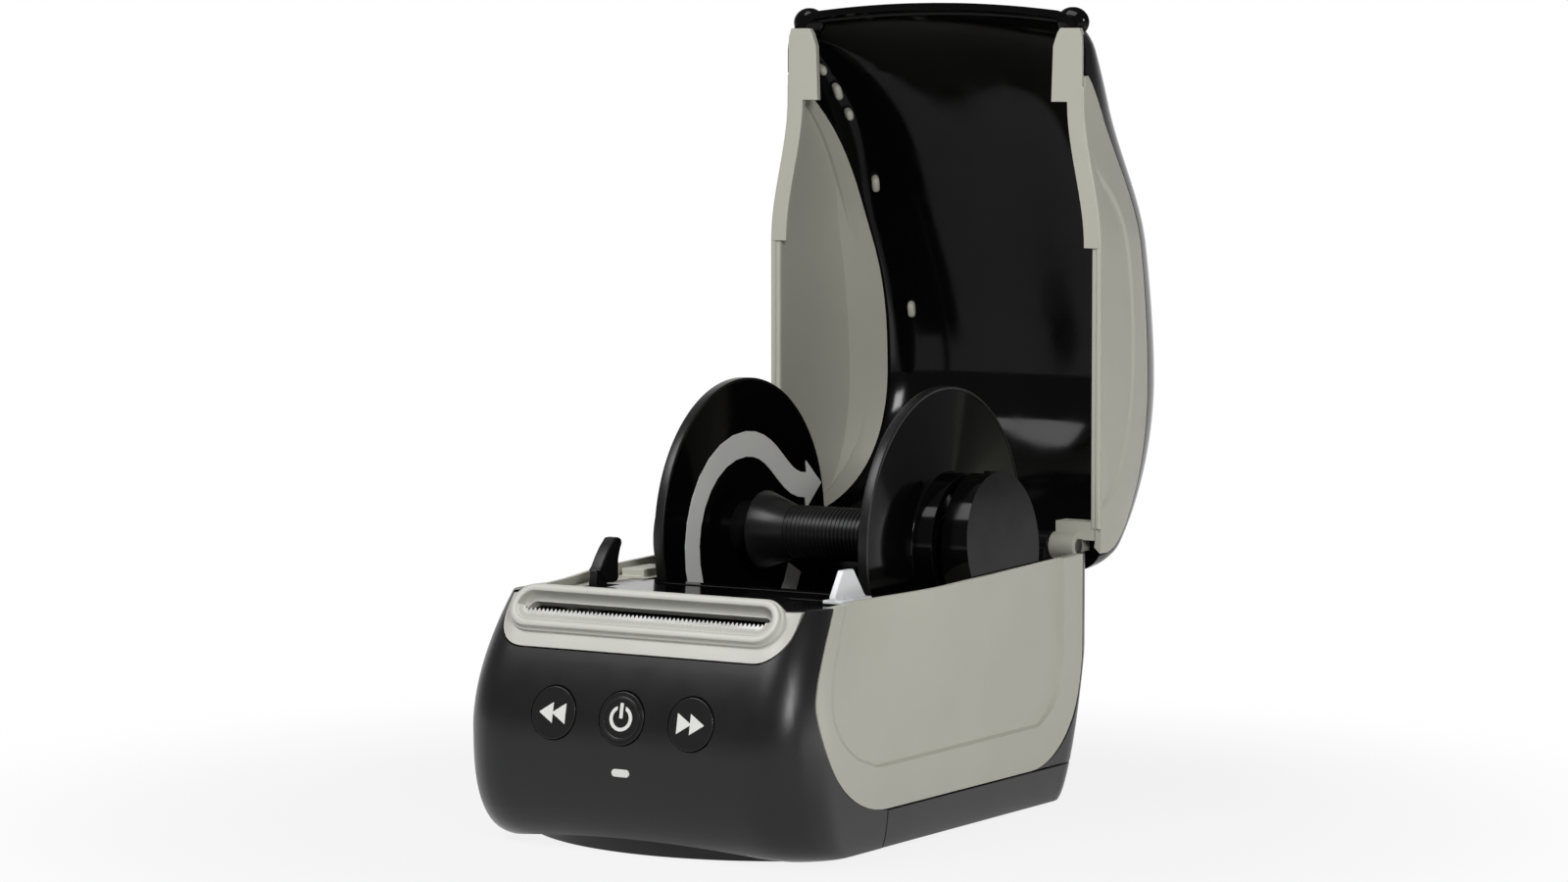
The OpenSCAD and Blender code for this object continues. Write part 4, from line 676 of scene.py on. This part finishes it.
# Soft edges of the ring, as steps in from a face and down from a top
STEP_IN, STEP_H, STEP_SOFT, RING_FOOT = 0.8, 1.1, 0.15, 3
STEP_EDGE = (0, 0.3), (0.12, 0.1), (0.3, 0)
BAND_EDGE = (0.03, 0.4), (0.15, 0.1), (0.4, 0)
SLOT_EDGE = (0.35, 0), (0.1, 0.12), (0, 0.35)
ring_profile = [(0, -RING_FOOT)] + [(t, STEP_H - h) for t, h in STEP_EDGE]
ring_profile += [(STEP_IN - STEP_SOFT, STEP_H), (STEP_IN, STEP_H + STEP_SOFT)]
ring_profile += [(STEP_IN + t, RING_OUT - h) for t, h in BAND_EDGE]
ring_profile += [(RING_BAND - t, RING_OUT - h) for t, h in SLOT_EDGE] + [(RING_BAND, -RING_FOOT)]
unrounded("bezel_ring", loops([ring_loop(t, h) for t, h in ring_profile]), "pale_grey", "body", angle=60)

# Opening inside the ring: a cove above the slot, and a ribbed ramp below it
OPEN_R, OPEN_L = RING_R - RING_BAND, RING_HALF - RING_R
EDGE_DROP, COVE_H, COVE_GAP = 0.25, -1.0, 0.5
EDGE_H = RING_OUT - EDGE_DROP
COVE_RUN, RAMP_RUN = OPEN_R - SLOT_HALF - COVE_GAP, OPEN_R - SLOT_HALF
RAMP_RIB, RAMP_RIB_AT, RAMP_RIB_RUN, END_STEPS, STRAIGHT_STEPS = 0.14, 0.2, 0.75, 20, 240


def half_path(start):
    """Centres and angles round the upper (start 0) or lower (start 180) half of the opening."""
    right, left = (OPEN_L, -OPEN_L) if start == 0 else (-OPEN_L, OPEN_L)
    path = [(right, a) for a in spread(start, start + 90, END_STEPS)]
    path += [(x, start + 90) for x in spread(right, left, STRAIGHT_STEPS)[1:-1]]
    path += [(left, a) for a in spread(start + 90, start + 180, END_STEPS)]
    return [(x, radians(a)) for x, a in path]


def half_bowl(start, run, height):
    """Closed solid whose face drops from the ring's inner edge towards the slot."""
    front, back = [], []
    for t in spread(0, 1, 12):
        r = OPEN_R - run * t
        row = [(x + r * cos(a), r * sin(a), height(x, t)) for x, a in half_path(start)]
        front.append([on_ring(*p) for p in row])
        back.append([on_ring(x, y, -RING_DEPTH) for x, y, h in row])
    return slab(front, back)


def cove(x, t):
    """Height at a share t of the run, the same at every x."""
    return mix(EDGE_H, COVE_H, sqrt(max(0, 1 - (1 - t) ** 2)))


def ramp(x, t):
    """Height at a share t of the run, with a rib for each tooth along x."""
    rib = RAMP_RIB * sin(pi * unit((t - RAMP_RIB_AT) / RAMP_RIB_RUN)) * cos(2 * pi * x / TOOTH_PITCH)
    return mix(EDGE_H, SILL_H, ease(t)) + rib


unrounded("bezel_cove", half_bowl(0, COVE_RUN, cove), "pale_grey", "body", angle=50)
unrounded("bezel_ramp", half_bowl(180, RAMP_RUN, ramp), "pale_grey", "body", angle=50)

BLADE_HALF = TEETH / 2 * TOOTH_PITCH
tooth_root = BLADE_T - SLOT_HALF
tooth_top = tooth_root + TOOTH_H
blade_outline = [(-BLADE_HALF, -SLOT_HALF), (BLADE_HALF, -SLOT_HALF), (BLADE_HALF, tooth_root)]
for k in range(TEETH):
    tip = BLADE_HALF - (k + 0.5) * TOOTH_PITCH
    blade_outline += [(tip + TIP_HALF, tooth_top), (tip - TIP_HALF, tooth_top)]
    blade_outline.append((tip - TOOTH_PITCH / 2, tooth_root))
blade_rings = [[on_ring(x, y, h) for x, y in blade_outline] for h in (SILL_H - BLADE_T, SILL_H)]
blade_shape = loops(blade_rings, closed=False)
blade = unrounded("tear_blade_form", blade_shape, "steel", "body", "tear_blade", angle=35)
blade.data.materials[0] = FINISH["blade_steel"]

# Shelf that closes the casing between the front and the feed deck
SHELF_FRONT, SHELF_GAP, SHELF_T = 0.6, 0.4, 1.6
shelf_ys = spread(y_front(DECK_TOP) + WALL + SHELF_FRONT, DECK_FRONT - SHELF_GAP, 12, power=2)
shelf_side = [(x_body(y, DECK_TOP, WALL + SHELF_GAP), y) for y in shelf_ys]
shelf_outline = shelf_side + [(-x, y) for x, y in shelf_side[::-1]]
shelf_rings = [[(x, y, z) for x, y in shelf_outline] for z in (DECK_TOP - SHELF_T, DECK_TOP)]
shelf = solid("front_shelf", *loops(shelf_rings, closed=False))
dress(shelf, "charcoal", "body", bevel=0.3)


# Spool

BORE_GAP, HUB_FILLET, CORE_SOFT = 0.03, 0.5, 0.4
CONE_EDGE = (0, 0.5), (0.15, 0.15), (0.6, 0.1)
bore = AXLE_R + BORE_GAP
cone_x = -FLANGE_X + HUB_LEN

# One rib of the core, as shares of its pitch and height
RIB_STEPS = (0, 1), (0.18, 0.85), (0.34, 0.1), (0.5, 0), (0.66, 0.1), (0.82, 0.85)


def rib_profile():
    start = cone_x + CONE_LEN
    count = int((CORE_END - start) / RIB_PITCH)
    return [(start + (k + t) * RIB_PITCH, CORE_R - RIB_DEPTH * (1 - h))
            for k in range(count) for t, h in RIB_STEPS]


spindle = [(-FLANGE_X, bore), (-FLANGE_X, HUB_R), (cone_x - HUB_FILLET, HUB_R), (cone_x, HUB_R + HUB_FILLET)]
spindle += [(cone_x + x, CONE_R - r) for x, r in CONE_EDGE]
spindle += rib_profile()
spindle += [(CORE_END - CORE_SOFT, CORE_R - RIB_DEPTH), (CORE_END, CORE_R - RIB_DEPTH - CORE_SOFT)]
spindle.append((CORE_END, bore))
unrounded("spool_spindle_form", lathe(spindle, 80), "charcoal", "spool", "spool_spindle")


def rounded_rim(x0, x1, r, soft):
    """Outline points over the edge of a disc, from its face at x0 to its face at x1."""
    turns = [radians(a) for a in (0, 30, 60, 90)]
    first = [(x0 + soft * (1 - cos(a)), r - soft + soft * sin(a)) for a in turns]
    return first + [(x0 + x1 - x, y) for x, y in reversed(first)]


BAND_T, BAND_GAP, BAND_PROUD, BAND_SOFT, DISC_SOFT = 0.9, 0.03, 0.1, 0.35, 0.15
DISC_R = FLANGE_R - BAND_T - BAND_GAP


def flange_band(x0, x1):
    """Band round the edge of a flange, a little proud of its faces."""
    r, low, high = FLANGE_R - BAND_T, x0 - BAND_PROUD, x1 + BAND_PROUD
    return lathe([(low, r)] + rounded_rim(low, high, FLANGE_R, BAND_SOFT) + [(high, r)], 200)


# Left flange, with two rings on its face that keep the shading flat
FACE_RINGS = 16, 40
left_x0 = -FLANGE_X - FLANGE_T
left_flange = [(-FLANGE_X, bore), (left_x0, bore)] + [(left_x0, r) for r in FACE_RINGS]
left_flange += rounded_rim(left_x0, -FLANGE_X, DISC_R, DISC_SOFT)
unrounded("left_flange_form", lathe(left_flange, 160), "gloss_black", "spool", "left_flange")
unrounded("left_flange_band", flange_band(left_x0, -FLANGE_X), "charcoal", "spool")

# Right flange, with soft edges on its collar as steps along the spool and in or out
COLLAR_WALL, CORE_GAP, COLLAR_SOFT = 2.5, 0.06, 0.4
COLLAR_FOOT = (0, 0.6), (0.2, 0.2), (0.6, 0)
COLLAR_EDGE = (0.4, 0), (0.1, 0.15), (0, 0.5)
right_x0, collar_x = FLANGE_X - FLANGE_T, FLANGE_X + COLLAR_LEN
collar_in = COLLAR_R - COLLAR_WALL
core_bore = CORE_R + CORE_GAP
right_flange = [(FLANGE_X, core_bore), (right_x0, core_bore)]
right_flange += rounded_rim(right_x0, FLANGE_X, DISC_R, DISC_SOFT)
right_flange += [(FLANGE_X + x, COLLAR_R + r) for x, r in COLLAR_FOOT]
right_flange += [(collar_x - x, COLLAR_R - r) for x, r in COLLAR_EDGE]
right_flange += [(collar_x - x, collar_in + r) for x, r in reversed(COLLAR_EDGE)]
right_flange += [(FLANGE_X + COLLAR_SOFT, collar_in), (FLANGE_X, collar_in - COLLAR_SOFT)]
unrounded("right_flange_form", lathe(right_flange, 160), "gloss_black", "spool_flange", "right_flange")
unrounded("right_flange_band", flange_band(right_x0, FLANGE_X), "charcoal", "spool_flange")

# Feed arrow, drawn out to the edge of the visible flange
ARROW_SCALE = 1.05
arrow = cad_copy("feed_arrow_form", "feed_arrow")
for vertex in arrow.data.vertices:
    vertex.co.y = mix(SPOOL_Y * MM, vertex.co.y, ARROW_SCALE)
    vertex.co.z = mix(SPOOL_Z * MM, vertex.co.z, ARROW_SCALE)
dress(arrow, "off_white", "spool", "feed_arrow", bevel=0.08)


# Lid

SEARCH_STEPS, ARC_STEPS, HOOD_STEPS, NEAR = 28, 48, 64, 0.01


def bezier(p, t):
    u = 1 - t
    weights = u ** 3, 3 * t * u * u, 3 * t * t * u, t ** 3
    return [sum(w * q[k] for w, q in zip(weights, p)) for k in (0, 1)]


LID_FRONT_CURVE = [(LID_LEN, 0), (LID_LEN - LID_LIP, LID_BROW * LID_PEAK),
                   (LID_PEAK_AT + LID_CROWN, LID_PEAK), (LID_PEAK_AT, LID_PEAK)]
LID_REAR_CURVE = [(-LID_TAIL, 0), (-LID_TAIL, LID_HEEL * LID_PEAK),
                  (LID_PEAK_AT - LID_CROWN, LID_PEAK), (LID_PEAK_AT, LID_PEAK)]


def lid_height(s):
    """Height of the lid's crown at distance s from the hinge."""
    p = LID_FRONT_CURVE if s > LID_PEAK_AT else LID_REAR_CURVE
    low, high = 0.0, 1.0
    for _ in range(SEARCH_STEPS):
        middle = (low + high) / 2
        if (bezier(p, middle)[0] - s) * (p[3][0] - p[0][0]) > 0:
            high = middle
        else:
            low = middle
    return bezier(p, (low + high) / 2)[1]


def lid_half(s):
    """Half width of the lid at distance s from the hinge."""
    into = max(0, s - LID_LEN + LID_CORNER) / LID_CORNER
    width = half_w(RIM_FRONT, HINGE_Y - s) - LID_CORNER * (1 - sqrt(max(0, 1 - into * into)))
    return width - (REAR_CORNER * (1 - sqrt(max(0, 1 - TAIL_ROUND * (s / LID_TAIL) ** 2))) if s < 0 else 0)


def panel_edge(s, k):
    """Height of the seam between panel and hood, lower on the outside (k is 0) than on the inside."""
    t = (s - PANEL_AT) / (PANEL_TAIL if s < PANEL_AT else PANEL_A)
    return PANEL_B * max(0, 1 - t * t) ** (0.5 if s < PANEL_AT else PANEL_TAPER) * (1 if k else PANEL_OUT)


def lid_angle(s, h):
    """Angle round the lid's section at which height h is reached."""
    return asin(unit(h / max(lid_height(s), NEAR)) ** (LID_SQUARE / 2))


def lid_point(s, a, k):
    """Point on the lid: s from the hinge, a round its section, k of a wall inwards."""
    c, middle = cos(a), (LID_LEN - LID_TAIL) / 2
    side = 1 if c > 0 else -1
    x = side * abs(c) ** (2 / LID_SQUARE) * lid_half(s) * (1 - k * WALL / HALF_BODY)
    y = MATE_Y + max(0, sin(a)) ** (2 / LID_SQUARE) * lid_height(s) * (1 - k * WALL / LID_PEAK)
    bow = LID_BOW * ((x / HALF_BODY) ** 2 - BOW_SHARE) * ease((s - PANEL_AT) / (LID_LEN - PANEL_AT)) ** 2
    return x, y, HINGE_Z + middle + (s - middle) * (1 - k * 2 * WALL / (LID_LEN + LID_TAIL)) - bow


ARC_TURNS = [cos(radians(a)) for a in spread(PANEL_END, 180 - PANEL_END, ARC_STEPS)]
LID_ARC = [PANEL_AT - c * (PANEL_TAIL if c > 0 else PANEL_A) for c in ARC_TURNS]
TAIL_S, LIP_S, END_GAP = LID_BLUNT - LID_TAIL, LID_LEN - LID_BLUNT, 0.8
LID_ROWS = spread(TAIL_S, LID_ARC[0] - END_GAP, 7, power=2) + LID_ARC
LID_ROWS += spread(LIP_S, LID_ARC[-1] + END_GAP, 12, power=1.7)[::-1]


def hood_row(s, k):
    beside = LID_ARC[0] - NEAR <= s <= LID_ARC[-1] + NEAR
    start = lid_angle(s, panel_edge(s, k) + SEAM) if beside else 0
    return [lid_point(s, a, k) for a in spread(start, pi - start, HOOD_STEPS)]


hood = solid("lid_hood_form", *slab([hood_row(s, 0) for s in LID_ROWS], [hood_row(s, 1) for s in LID_ROWS]))
dress(hood, "gloss_black", "lid", "lid_hood", bevel=0.3, angle=50)

LENS_B, LENS_AT, LENS_REAR, LENS_FRONT, LENS_RUN = 24, 63, 50, 60, 1.2
LID_BORDER, LID_BORDER_RUN, LID_RIDGE = 6, 0.9, 0.55
EDGE_BAND, EDGE_RUN = 3.6, 0.5
LENS_DEPTH = 1.3 * RECESS / WALL


def lens(s):
    """Height of the shallow field on the outside of a lid panel."""
    reach = LENS_REAR if s < LENS_AT else LENS_FRONT
    return LENS_B * sqrt(max(0, 1 - ((s - LENS_AT) / reach) ** 2))


def lid_panel_row(s, inner):
    """Row of points up a lid panel, with the border's ridge inside and the shallow field outside."""
    top, field = panel_edge(s, inner), lens(s)
    if field > EDGE_BAND + EDGE_RUN + 2 * LENS_RUN:
        low = [0, EDGE_BAND] + spread(EDGE_BAND + EDGE_RUN, field - LENS_RUN, 4)
        low += [field - LENS_RUN / 2, field]
    else:
        low = spread(0, min(EDGE_BAND, top / 4), 8)
    start = max(low[-1], top - LID_BORDER - LID_BORDER_RUN)
    stops = low + spread(low[-1], start, 8)[1:] + spread(start, start + LID_BORDER_RUN, 3)[1:]
    stops += spread(start + LID_BORDER_RUN, max(top, start + LID_BORDER_RUN), 4)[1:]
    row = []
    for h in stops:
        if inner:
            k = 1 + LID_RIDGE * ease((h - start) / LID_BORDER_RUN)
        else:
            k = LENS_DEPTH * ease((field - h) / LENS_RUN) * ease((h - EDGE_BAND) / EDGE_RUN)
        row.append(lid_point(s, lid_angle(s, min(h, top)), k))
    return row


for side, grids in both_sides([[lid_panel_row(s, inner) for s in LID_ARC] for inner in (False, True)]):
    panel = solid(f"lid_{side}_panel_form", *slab(*grids))
    dress(panel, "warm_grey", "lid", f"lid_{side}_panel", bevel=0.3, angle=50)

# Double ridge along each lid panel's open edge, by places out from it and into the lid
EDGE_PROFILE = [(-3.6, 1.5), (-3.6, -0.15), (-3.4, -0.35), (-2.3, -0.35), (-2.1, -0.2), (-2.0, -0.2),
                (-1.8, -0.7), (-1.6, -0.8), (-0.6, -0.8), (-0.3, -0.65), (-0.2, -0.4), (-0.2, 1.5)]
EDGE_FROM, EDGE_TO = 6, 150
for side, sign in SIDES:
    rings = [[(sign * (lid_half(s) + x), MATE_Y + y, HINGE_Z + s) for x, y in EDGE_PROFILE]
             for s in spread(EDGE_FROM, EDGE_TO, 40)]
    unrounded(f"lid_{side}_ridge", loops(rings, closed=False), "warm_grey", "lid", angle=60)

# Seat strips beside the opening: a broad block near the front and a rib towards the hinge
STRIP_S0, STRIP_S1, STRIP_S2, STRIP_W, STRIP_RIB, STRIP_IN = 97.5, 145, 169, 12.3, 5.6, 0.8
STRIP_PROUD, STRIP_SUNK, STRIP_CORNER = 1, 1.2, ((3.2, 0), (2.1, 1.6), (0.6, 6))
strip_edge = [(lid_half(s) - STRIP_IN, s) for s in spread(STRIP_S0, STRIP_S2, 24)]
STRIP_X = lid_half(STRIP_S1) - STRIP_W
strip_in = [(STRIP_X + x, STRIP_S2 - s) for x, s in STRIP_CORNER] + [(STRIP_X, STRIP_S1)]
strip_in += [(lid_half(s) - STRIP_IN - STRIP_RIB, s) for s in spread(STRIP_S1, STRIP_S0, 16)]
for side, sign in SIDES:
    outline = [(sign * x, HINGE_Z + s) for x, s in strip_edge + strip_in]
    rings = [[(x, y, z) for x, z in outline] for y in (MATE_Y - STRIP_PROUD, MATE_Y + STRIP_SUNK)]
    strip = solid(f"lid_{side}_strip", *loops(rings, closed=False))
    dress(strip, "warm_grey", "lid", "lid_strips", bevel=0.25, angle=30)

# Rolled lip inside the lid's front edge, and the two nubs beside it
LIP_R, LIP_INSET, LIP_DEEP = 0.8, 1.3, 0.9
lip_path = [lid_point(LIP_S - LIP_INSET, radians(a), LIP_DEEP) for a in range(28, 153, 4)]
unrounded("lid_lip", tube(lip_path, LIP_R), "gloss_black", "lid", angle=35)
NUB_X, NUB_RISE, NUB_BACK, NUB_SIZE = 50.4, 3.2, 3.8, (6.0, 2.7, 5.0)


def lid_front(x):
    """Distance from the hinge at which the lid's front edge has half width x."""
    low, high = LID_LEN - LID_CORNER, LIP_S
    for _ in range(SEARCH_STEPS):
        middle = (low + high) / 2
        low, high = (middle, high) if lid_half(middle) > abs(x) else (low, middle)
    return low


def nub(x):
    """Rounded nub on the lid's front edge."""
    wide, deep, high = NUB_SIZE
    centre = Vector((x, MATE_Y + NUB_RISE, HINGE_Z + lid_front(x) - NUB_BACK))
    rings = []
    for a in spread(radians(-80), radians(80), 16):
        around = [Vector((wide * cos(a) * p, deep * cos(a) * q, high * sin(a))) for p, q in circle(1, 24)]
        rings.append([tuple(centre + p) for p in around])
    return loops(rings, closed=False)


for side, sign in reversed(SIDES):
    unrounded(f"lid_{side}_nub", nub(sign * NUB_X), "gloss_black", "lid", angle=60)

# Clip tabs on the inside of the hood: distance from the hinge, angle round the section, length
CLIPS = (159, 23, 2.2), (151, 31, 4.4), (142.8, 35, 2.6), (117.6, 47, 4.2), (72, 58, 4.2)
CLIP_H, CLIP_W = 3.4, 2.6
CLIP_STEPS = (-1.5, 1), (CLIP_H - 0.9, 1), (CLIP_H - 0.3, 0.8), (CLIP_H, 0.45)


def clip_rings(s, a, length):
    """Rings of points from the foot of a clip tab to its smaller top."""
    at = Vector(lid_point(s, radians(a), 1))
    along = (Vector(lid_point(s + 1, radians(a), 1)) - at).normalized()
    across = (Vector(lid_point(s, radians(a + 1), 1)) - at).normalized()
    out = along.cross(across).normalized()
    if out.x > 0:
        out = -out
    across = out.cross(along)
    rings = []
    for h, shrink in CLIP_STEPS:
        corners = stadium(length / 2 * shrink + CLIP_W / 4, CLIP_W / 2 * shrink, 6)
        rings.append([at + along * p + across * q + out * h for p, q in corners])
    return rings


clips = [loops([[(sign * p.x, p.y, p.z) for p in ring] for ring in clip_rings(*clip)], closed=False)
         for clip in CLIPS for side, sign in SIDES]
unrounded("lid_clips", joined(clips), "warm_grey", "lid")


# Pieces that keep their CAD shape, with softened edges: node, body and width of the rounding

SOFTENED = [
    ("plinth", "body", 0.8), ("rubber_feet", "body", 0.4),
    ("left_ledge", "body", 0.4), ("right_ledge", "body", 0.4),
    ("left_cradle", "body", 1.3), ("right_cradle", "body", 1.3),
    ("roll_well", "body", 0.3), ("feed_deck", "body", 0.3),
    ("hinge_lugs", "body", 0.4), ("power_socket", "body", 0.3), ("data_socket", "body", 0.3),
    ("label_guide", "guide", 0.4),
    ("back_button", "back_key", 0.35), ("power_button", "power_key", 0.35), ("feed_button", "feed_key", 0.35),
    ("lid_ears", "lid", 0.5), ("spool_axle", "spool", 0.5), ("print_head", "head", 0.2),
    ("drive_motor", "body", 0.8), ("platen_roller", "platen", 0.4),
    ("status_lamp", "body", 0.2), ("platen_bushes", "body", 0.15),
]
for node, body, bevel in SOFTENED:
    dress(cad_copy(f"{node}_form", node), FINISH_OF[node], body, node, bevel=bevel, angle=40)

# Signs on the keys, with their width and height as shares of the CAD ones
ICONS = ("back", 0.86, 0.74), ("power", 0.94, 0.91), ("feed", 0.86, 0.74)
for key, wide, high in ICONS:
    node = f"{key}_icon"
    icon = cad_copy(f"{node}_form", node)
    low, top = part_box(node)
    middle = (low + top) / 2
    for vertex in icon.data.vertices:
        drop = (1 - high) * (vertex.co.z - middle.z)
        vertex.co.x = mix(middle.x, vertex.co.x, wide)
        vertex.co.y -= drop * tan(radians(BUTTON_TILT))
        vertex.co.z -= drop
    dress(icon, "off_white", f"{key}_key", node, bevel=0.06, angle=40)

# Release lever: a thin neck with an eye on its pin, and a grip like a fin that leans back
LEVER_X, LEVER_Y, LEVER_Z = -HALF_BODY + 19.5, -FRONT + 55.5, RIM_FRONT - 15
EYE_R, PIN_R, PIN_GAP, NECK_HALF, GRIP_HALF = 4, 1.6, 0.1, 1.4, 2.15
eye_turns = [radians(a) for a in range(180, 361, 12)]
neck_outline = [(EYE_R * cos(a), EYE_R * sin(a)) for a in eye_turns]
neck_outline += [(1, 15), (2, 19), (-5, 19), (-5.6, 14)]
grip_outline = [(0.6, 14.6), (4.4, 14.3), (6, 14.7), (6.6, 15.6), (6.4, 18.6), (6.5, 21.6), (7.5, 24.6),
                (8.5, 26.4), (8.2, 27.8), (6.6, 28.5), (4.4, 28.4), (1.2, 25.6), (-1.2, 22.8), (-3.2, 20),
                (-4.6, 18.9), (-4, 18)]


def lever_part(outline, half):
    """Flat piece of the lever, from an outline of depths and heights about its pin."""
    rings = [[(LEVER_X + x, LEVER_Y + y, LEVER_Z + z) for y, z in outline] for x in (-half, half)]
    return loops(rings, closed=False)


neck = solid("release_lever_form", *lever_part(neck_outline, NECK_HALF))
cut(neck, [lever_part(circle(PIN_R + PIN_GAP, 32), 2 * NECK_HALF)])
dress(neck, "charcoal", "lever", "release_lever", bevel=0.5, angle=40)
dress(solid("lever_grip", *lever_part(grip_outline, GRIP_HALF)), "charcoal", "lever", bevel=0.6, angle=40)

# Raised ring on the power button, as radii and heights over the button's face
POWER_RING = (5.9, -0.3), (5.9, 0.15), (6.1, 0.3), (6.5, 0.3), (6.7, 0.15), (6.7, -0.3)
FACE_PROUD = 0.3
face_at = Vector((0, y_front(BUTTON_Z) - FACE_PROUD, BUTTON_Z))
lean = Matrix.Rotation(radians(90 - BUTTON_TILT), 3, "X")
ring_rows = [[tuple(lean @ Vector((a, b, h)) + face_at) for a, b in circle(r, 72)] for r, h in POWER_RING]
unrounded("power_ring", loops(ring_rows), "charcoal", "power_key", angle=50)

# Coiled springs over the print head, drawn at one length, though the real ones flatten as it lifts
spring_low, spring_high = (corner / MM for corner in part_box("head_springs"))
SPRING_R, SPRING_INSET, WIRE_R, TURNS, TURN_STEPS = 1.9, 2.2, 0.32, 4, 16
spring_y = (spring_low.y + spring_high.y) / 2
coil = spread(spring_low.z + WIRE_R, spring_high.z - WIRE_R, TURNS * TURN_STEPS)
coils = []
for side, sign in SIDES:
    centre = Vector((sign * (spring_high.x - SPRING_INSET), spring_y, 0))
    path = []
    for k, z in enumerate(coil):
        a = 2 * pi * k / TURN_STEPS
        path.append(centre + Vector((SPRING_R * cos(a), SPRING_R * sin(a), z)))
    coils.append(tube(path, WIRE_R, 8))
springs = unrounded("head_springs_coils", joined(coils), "steel", "body", "head_springs", angle=60)
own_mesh(springs)


# Camera, at the photograph's place, with its focal length in pixels of the photograph

CAMERA_AT, CAMERA_AIM = (815, -1304, 247), (0, 0, 120.6)
PHOTO_W, FOCAL, SENSOR = 1600, 4974, 36


def stand(thing, at, aim):
    """Puts a camera or lamp at a place, turned towards another."""
    thing.location = Vector(at) * MM
    thing.rotation_mode = "QUATERNION"
    thing.rotation_quaternion = (Vector(aim) - Vector(at)).to_track_quat("-Z", "Y")
    bpy.context.scene.collection.objects.link(thing)


camera_data = bpy.data.cameras.new("camera")
camera_data.sensor_width = SENSOR
camera_data.lens = FOCAL / PHOTO_W * SENSOR
camera = bpy.data.objects.new("camera", camera_data)
stand(camera, CAMERA_AT, CAMERA_AIM)
bpy.context.scene.camera = camera


# Floor, light and sky

FLOOR, FLOOR_GREY = 8000, (0.42, 0.42, 0.42, 1)
GLOW_NEAR, GLOW_FAR, FADE_START, FADE_END = 0.86, 1, 0.14, 0.34
SKY_WHITE, SKY_LIGHT, SKY_DIM, SKY_START, SKY_END = (-0.53, 0.848, 0), 0.2, 0.25, 0.5, 0.9


def maths(tree, operation, first, second):
    node = node_of(tree, "ShaderNodeMath", operation=operation)
    tree.links.new(first, node.inputs[0])
    tree.links.new(second, node.inputs[1])
    return node.outputs[0]


def seen_rays(tree):
    """One where a ray comes from the camera, a glossy or a clear surface."""
    path = node_of(tree, "ShaderNodeLightPath")
    total = path.outputs["Is Camera Ray"]
    for kind in ("Is Glossy Ray", "Is Transmission Ray"):
        total = maths(tree, "MAXIMUM", total, path.outputs[kind])
    return total


def blend(tree, share, first, second, output):
    """Leads two shaders to the output, blended by a share of the second."""
    mixed = node_of(tree, "ShaderNodeMixShader")
    tree.links.new(share, mixed.inputs[0])
    tree.links.new(first.outputs[0], mixed.inputs[1])
    tree.links.new(second.outputs[0], mixed.inputs[2])
    tree.links.new(mixed.outputs[0], tree.nodes[output].inputs["Surface"])


def floor_material():
    """Matt floor that is seen nearly white, and takes a soft shadow near the part."""
    material = bpy.data.materials.new("floor")
    material.use_nodes = True
    tree = material.node_tree
    tree.nodes.remove(tree.nodes["Principled BSDF"])
    matt = node_of(tree, "ShaderNodeBsdfDiffuse")
    matt.inputs["Color"].default_value = FLOOR_GREY
    glow = node_of(tree, "ShaderNodeEmission")
    coordinates = node_of(tree, "ShaderNodeTexCoord")
    away = node_of(tree, "ShaderNodeVectorMath", operation="LENGTH")
    tree.links.new(coordinates.outputs["Object"], away.inputs[0])
    fade = ranged(tree, away.outputs["Value"], GLOW_NEAR, GLOW_FAR, FADE_START, FADE_END, "SMOOTHSTEP")
    blend(tree, maths(tree, "MULTIPLY", fade, seen_rays(tree)), matt, glow, "Material Output")
    return material


floor_points = [(-FLOOR, -FLOOR, 0), (FLOOR, -FLOOR, 0), (FLOOR, FLOOR, 0), (-FLOOR, FLOOR, 0)]
floor = solid("floor", floor_points, [(0, 1, 2, 3)])
floor.data.materials.append(floor_material())

# Sky that lights evenly, and is seen and mirrored bright on one side
world = bpy.data.worlds.new("sky")
bpy.context.scene.world = world
world.use_nodes = True
sky = world.node_tree
lit_sky = sky.nodes["Background"]
lit_sky.inputs["Strength"].default_value = SKY_LIGHT
seen_sky = node_of(sky, "ShaderNodeBackground")
sky_places = node_of(sky, "ShaderNodeTexCoord")
sky_facing = node_of(sky, "ShaderNodeVectorMath", operation="DOT_PRODUCT")
sky_facing.inputs[1].default_value = SKY_WHITE
sky.links.new(sky_places.outputs["Generated"], sky_facing.inputs[0])
sky_level = ranged(sky, sky_facing.outputs["Value"], SKY_DIM, 1, SKY_START, SKY_END, "SMOOTHSTEP")
sky.links.new(sky_level, seen_sky.inputs["Strength"])
for background in (lit_sky, seen_sky):
    background.inputs["Color"].default_value = (1, 1, 1, 1)
blend(sky, seen_rays(sky), lit_sky, seen_sky, "World Output")

# Lamps: place and aim in millimetres, size in metres, power in watts
LAMPS = {
    "card": ((330, 40, 40), (63, 20, 45), (0.4, 0.1), 0.23),
    "overhead": ((-450, -800, 1150), (0, 0, 80), (0.9, 0.6), 11.5),
    "corner": ((900, -840, 560), (0, 0, 80), (0.24, 0.24), 6.6),
}
for name, (at, aim, size, power) in LAMPS.items():
    data = bpy.data.lights.new(name, "AREA")
    data.shape = "RECTANGLE"
    data.size, data.size_y = size
    data.energy = power
    lamp = bpy.data.objects.new(name, data)
    lamp.visible_camera = False
    stand(lamp, at, aim)

bpy.context.scene.view_settings.view_transform = "Standard"
bpy.context.view_layer.update()
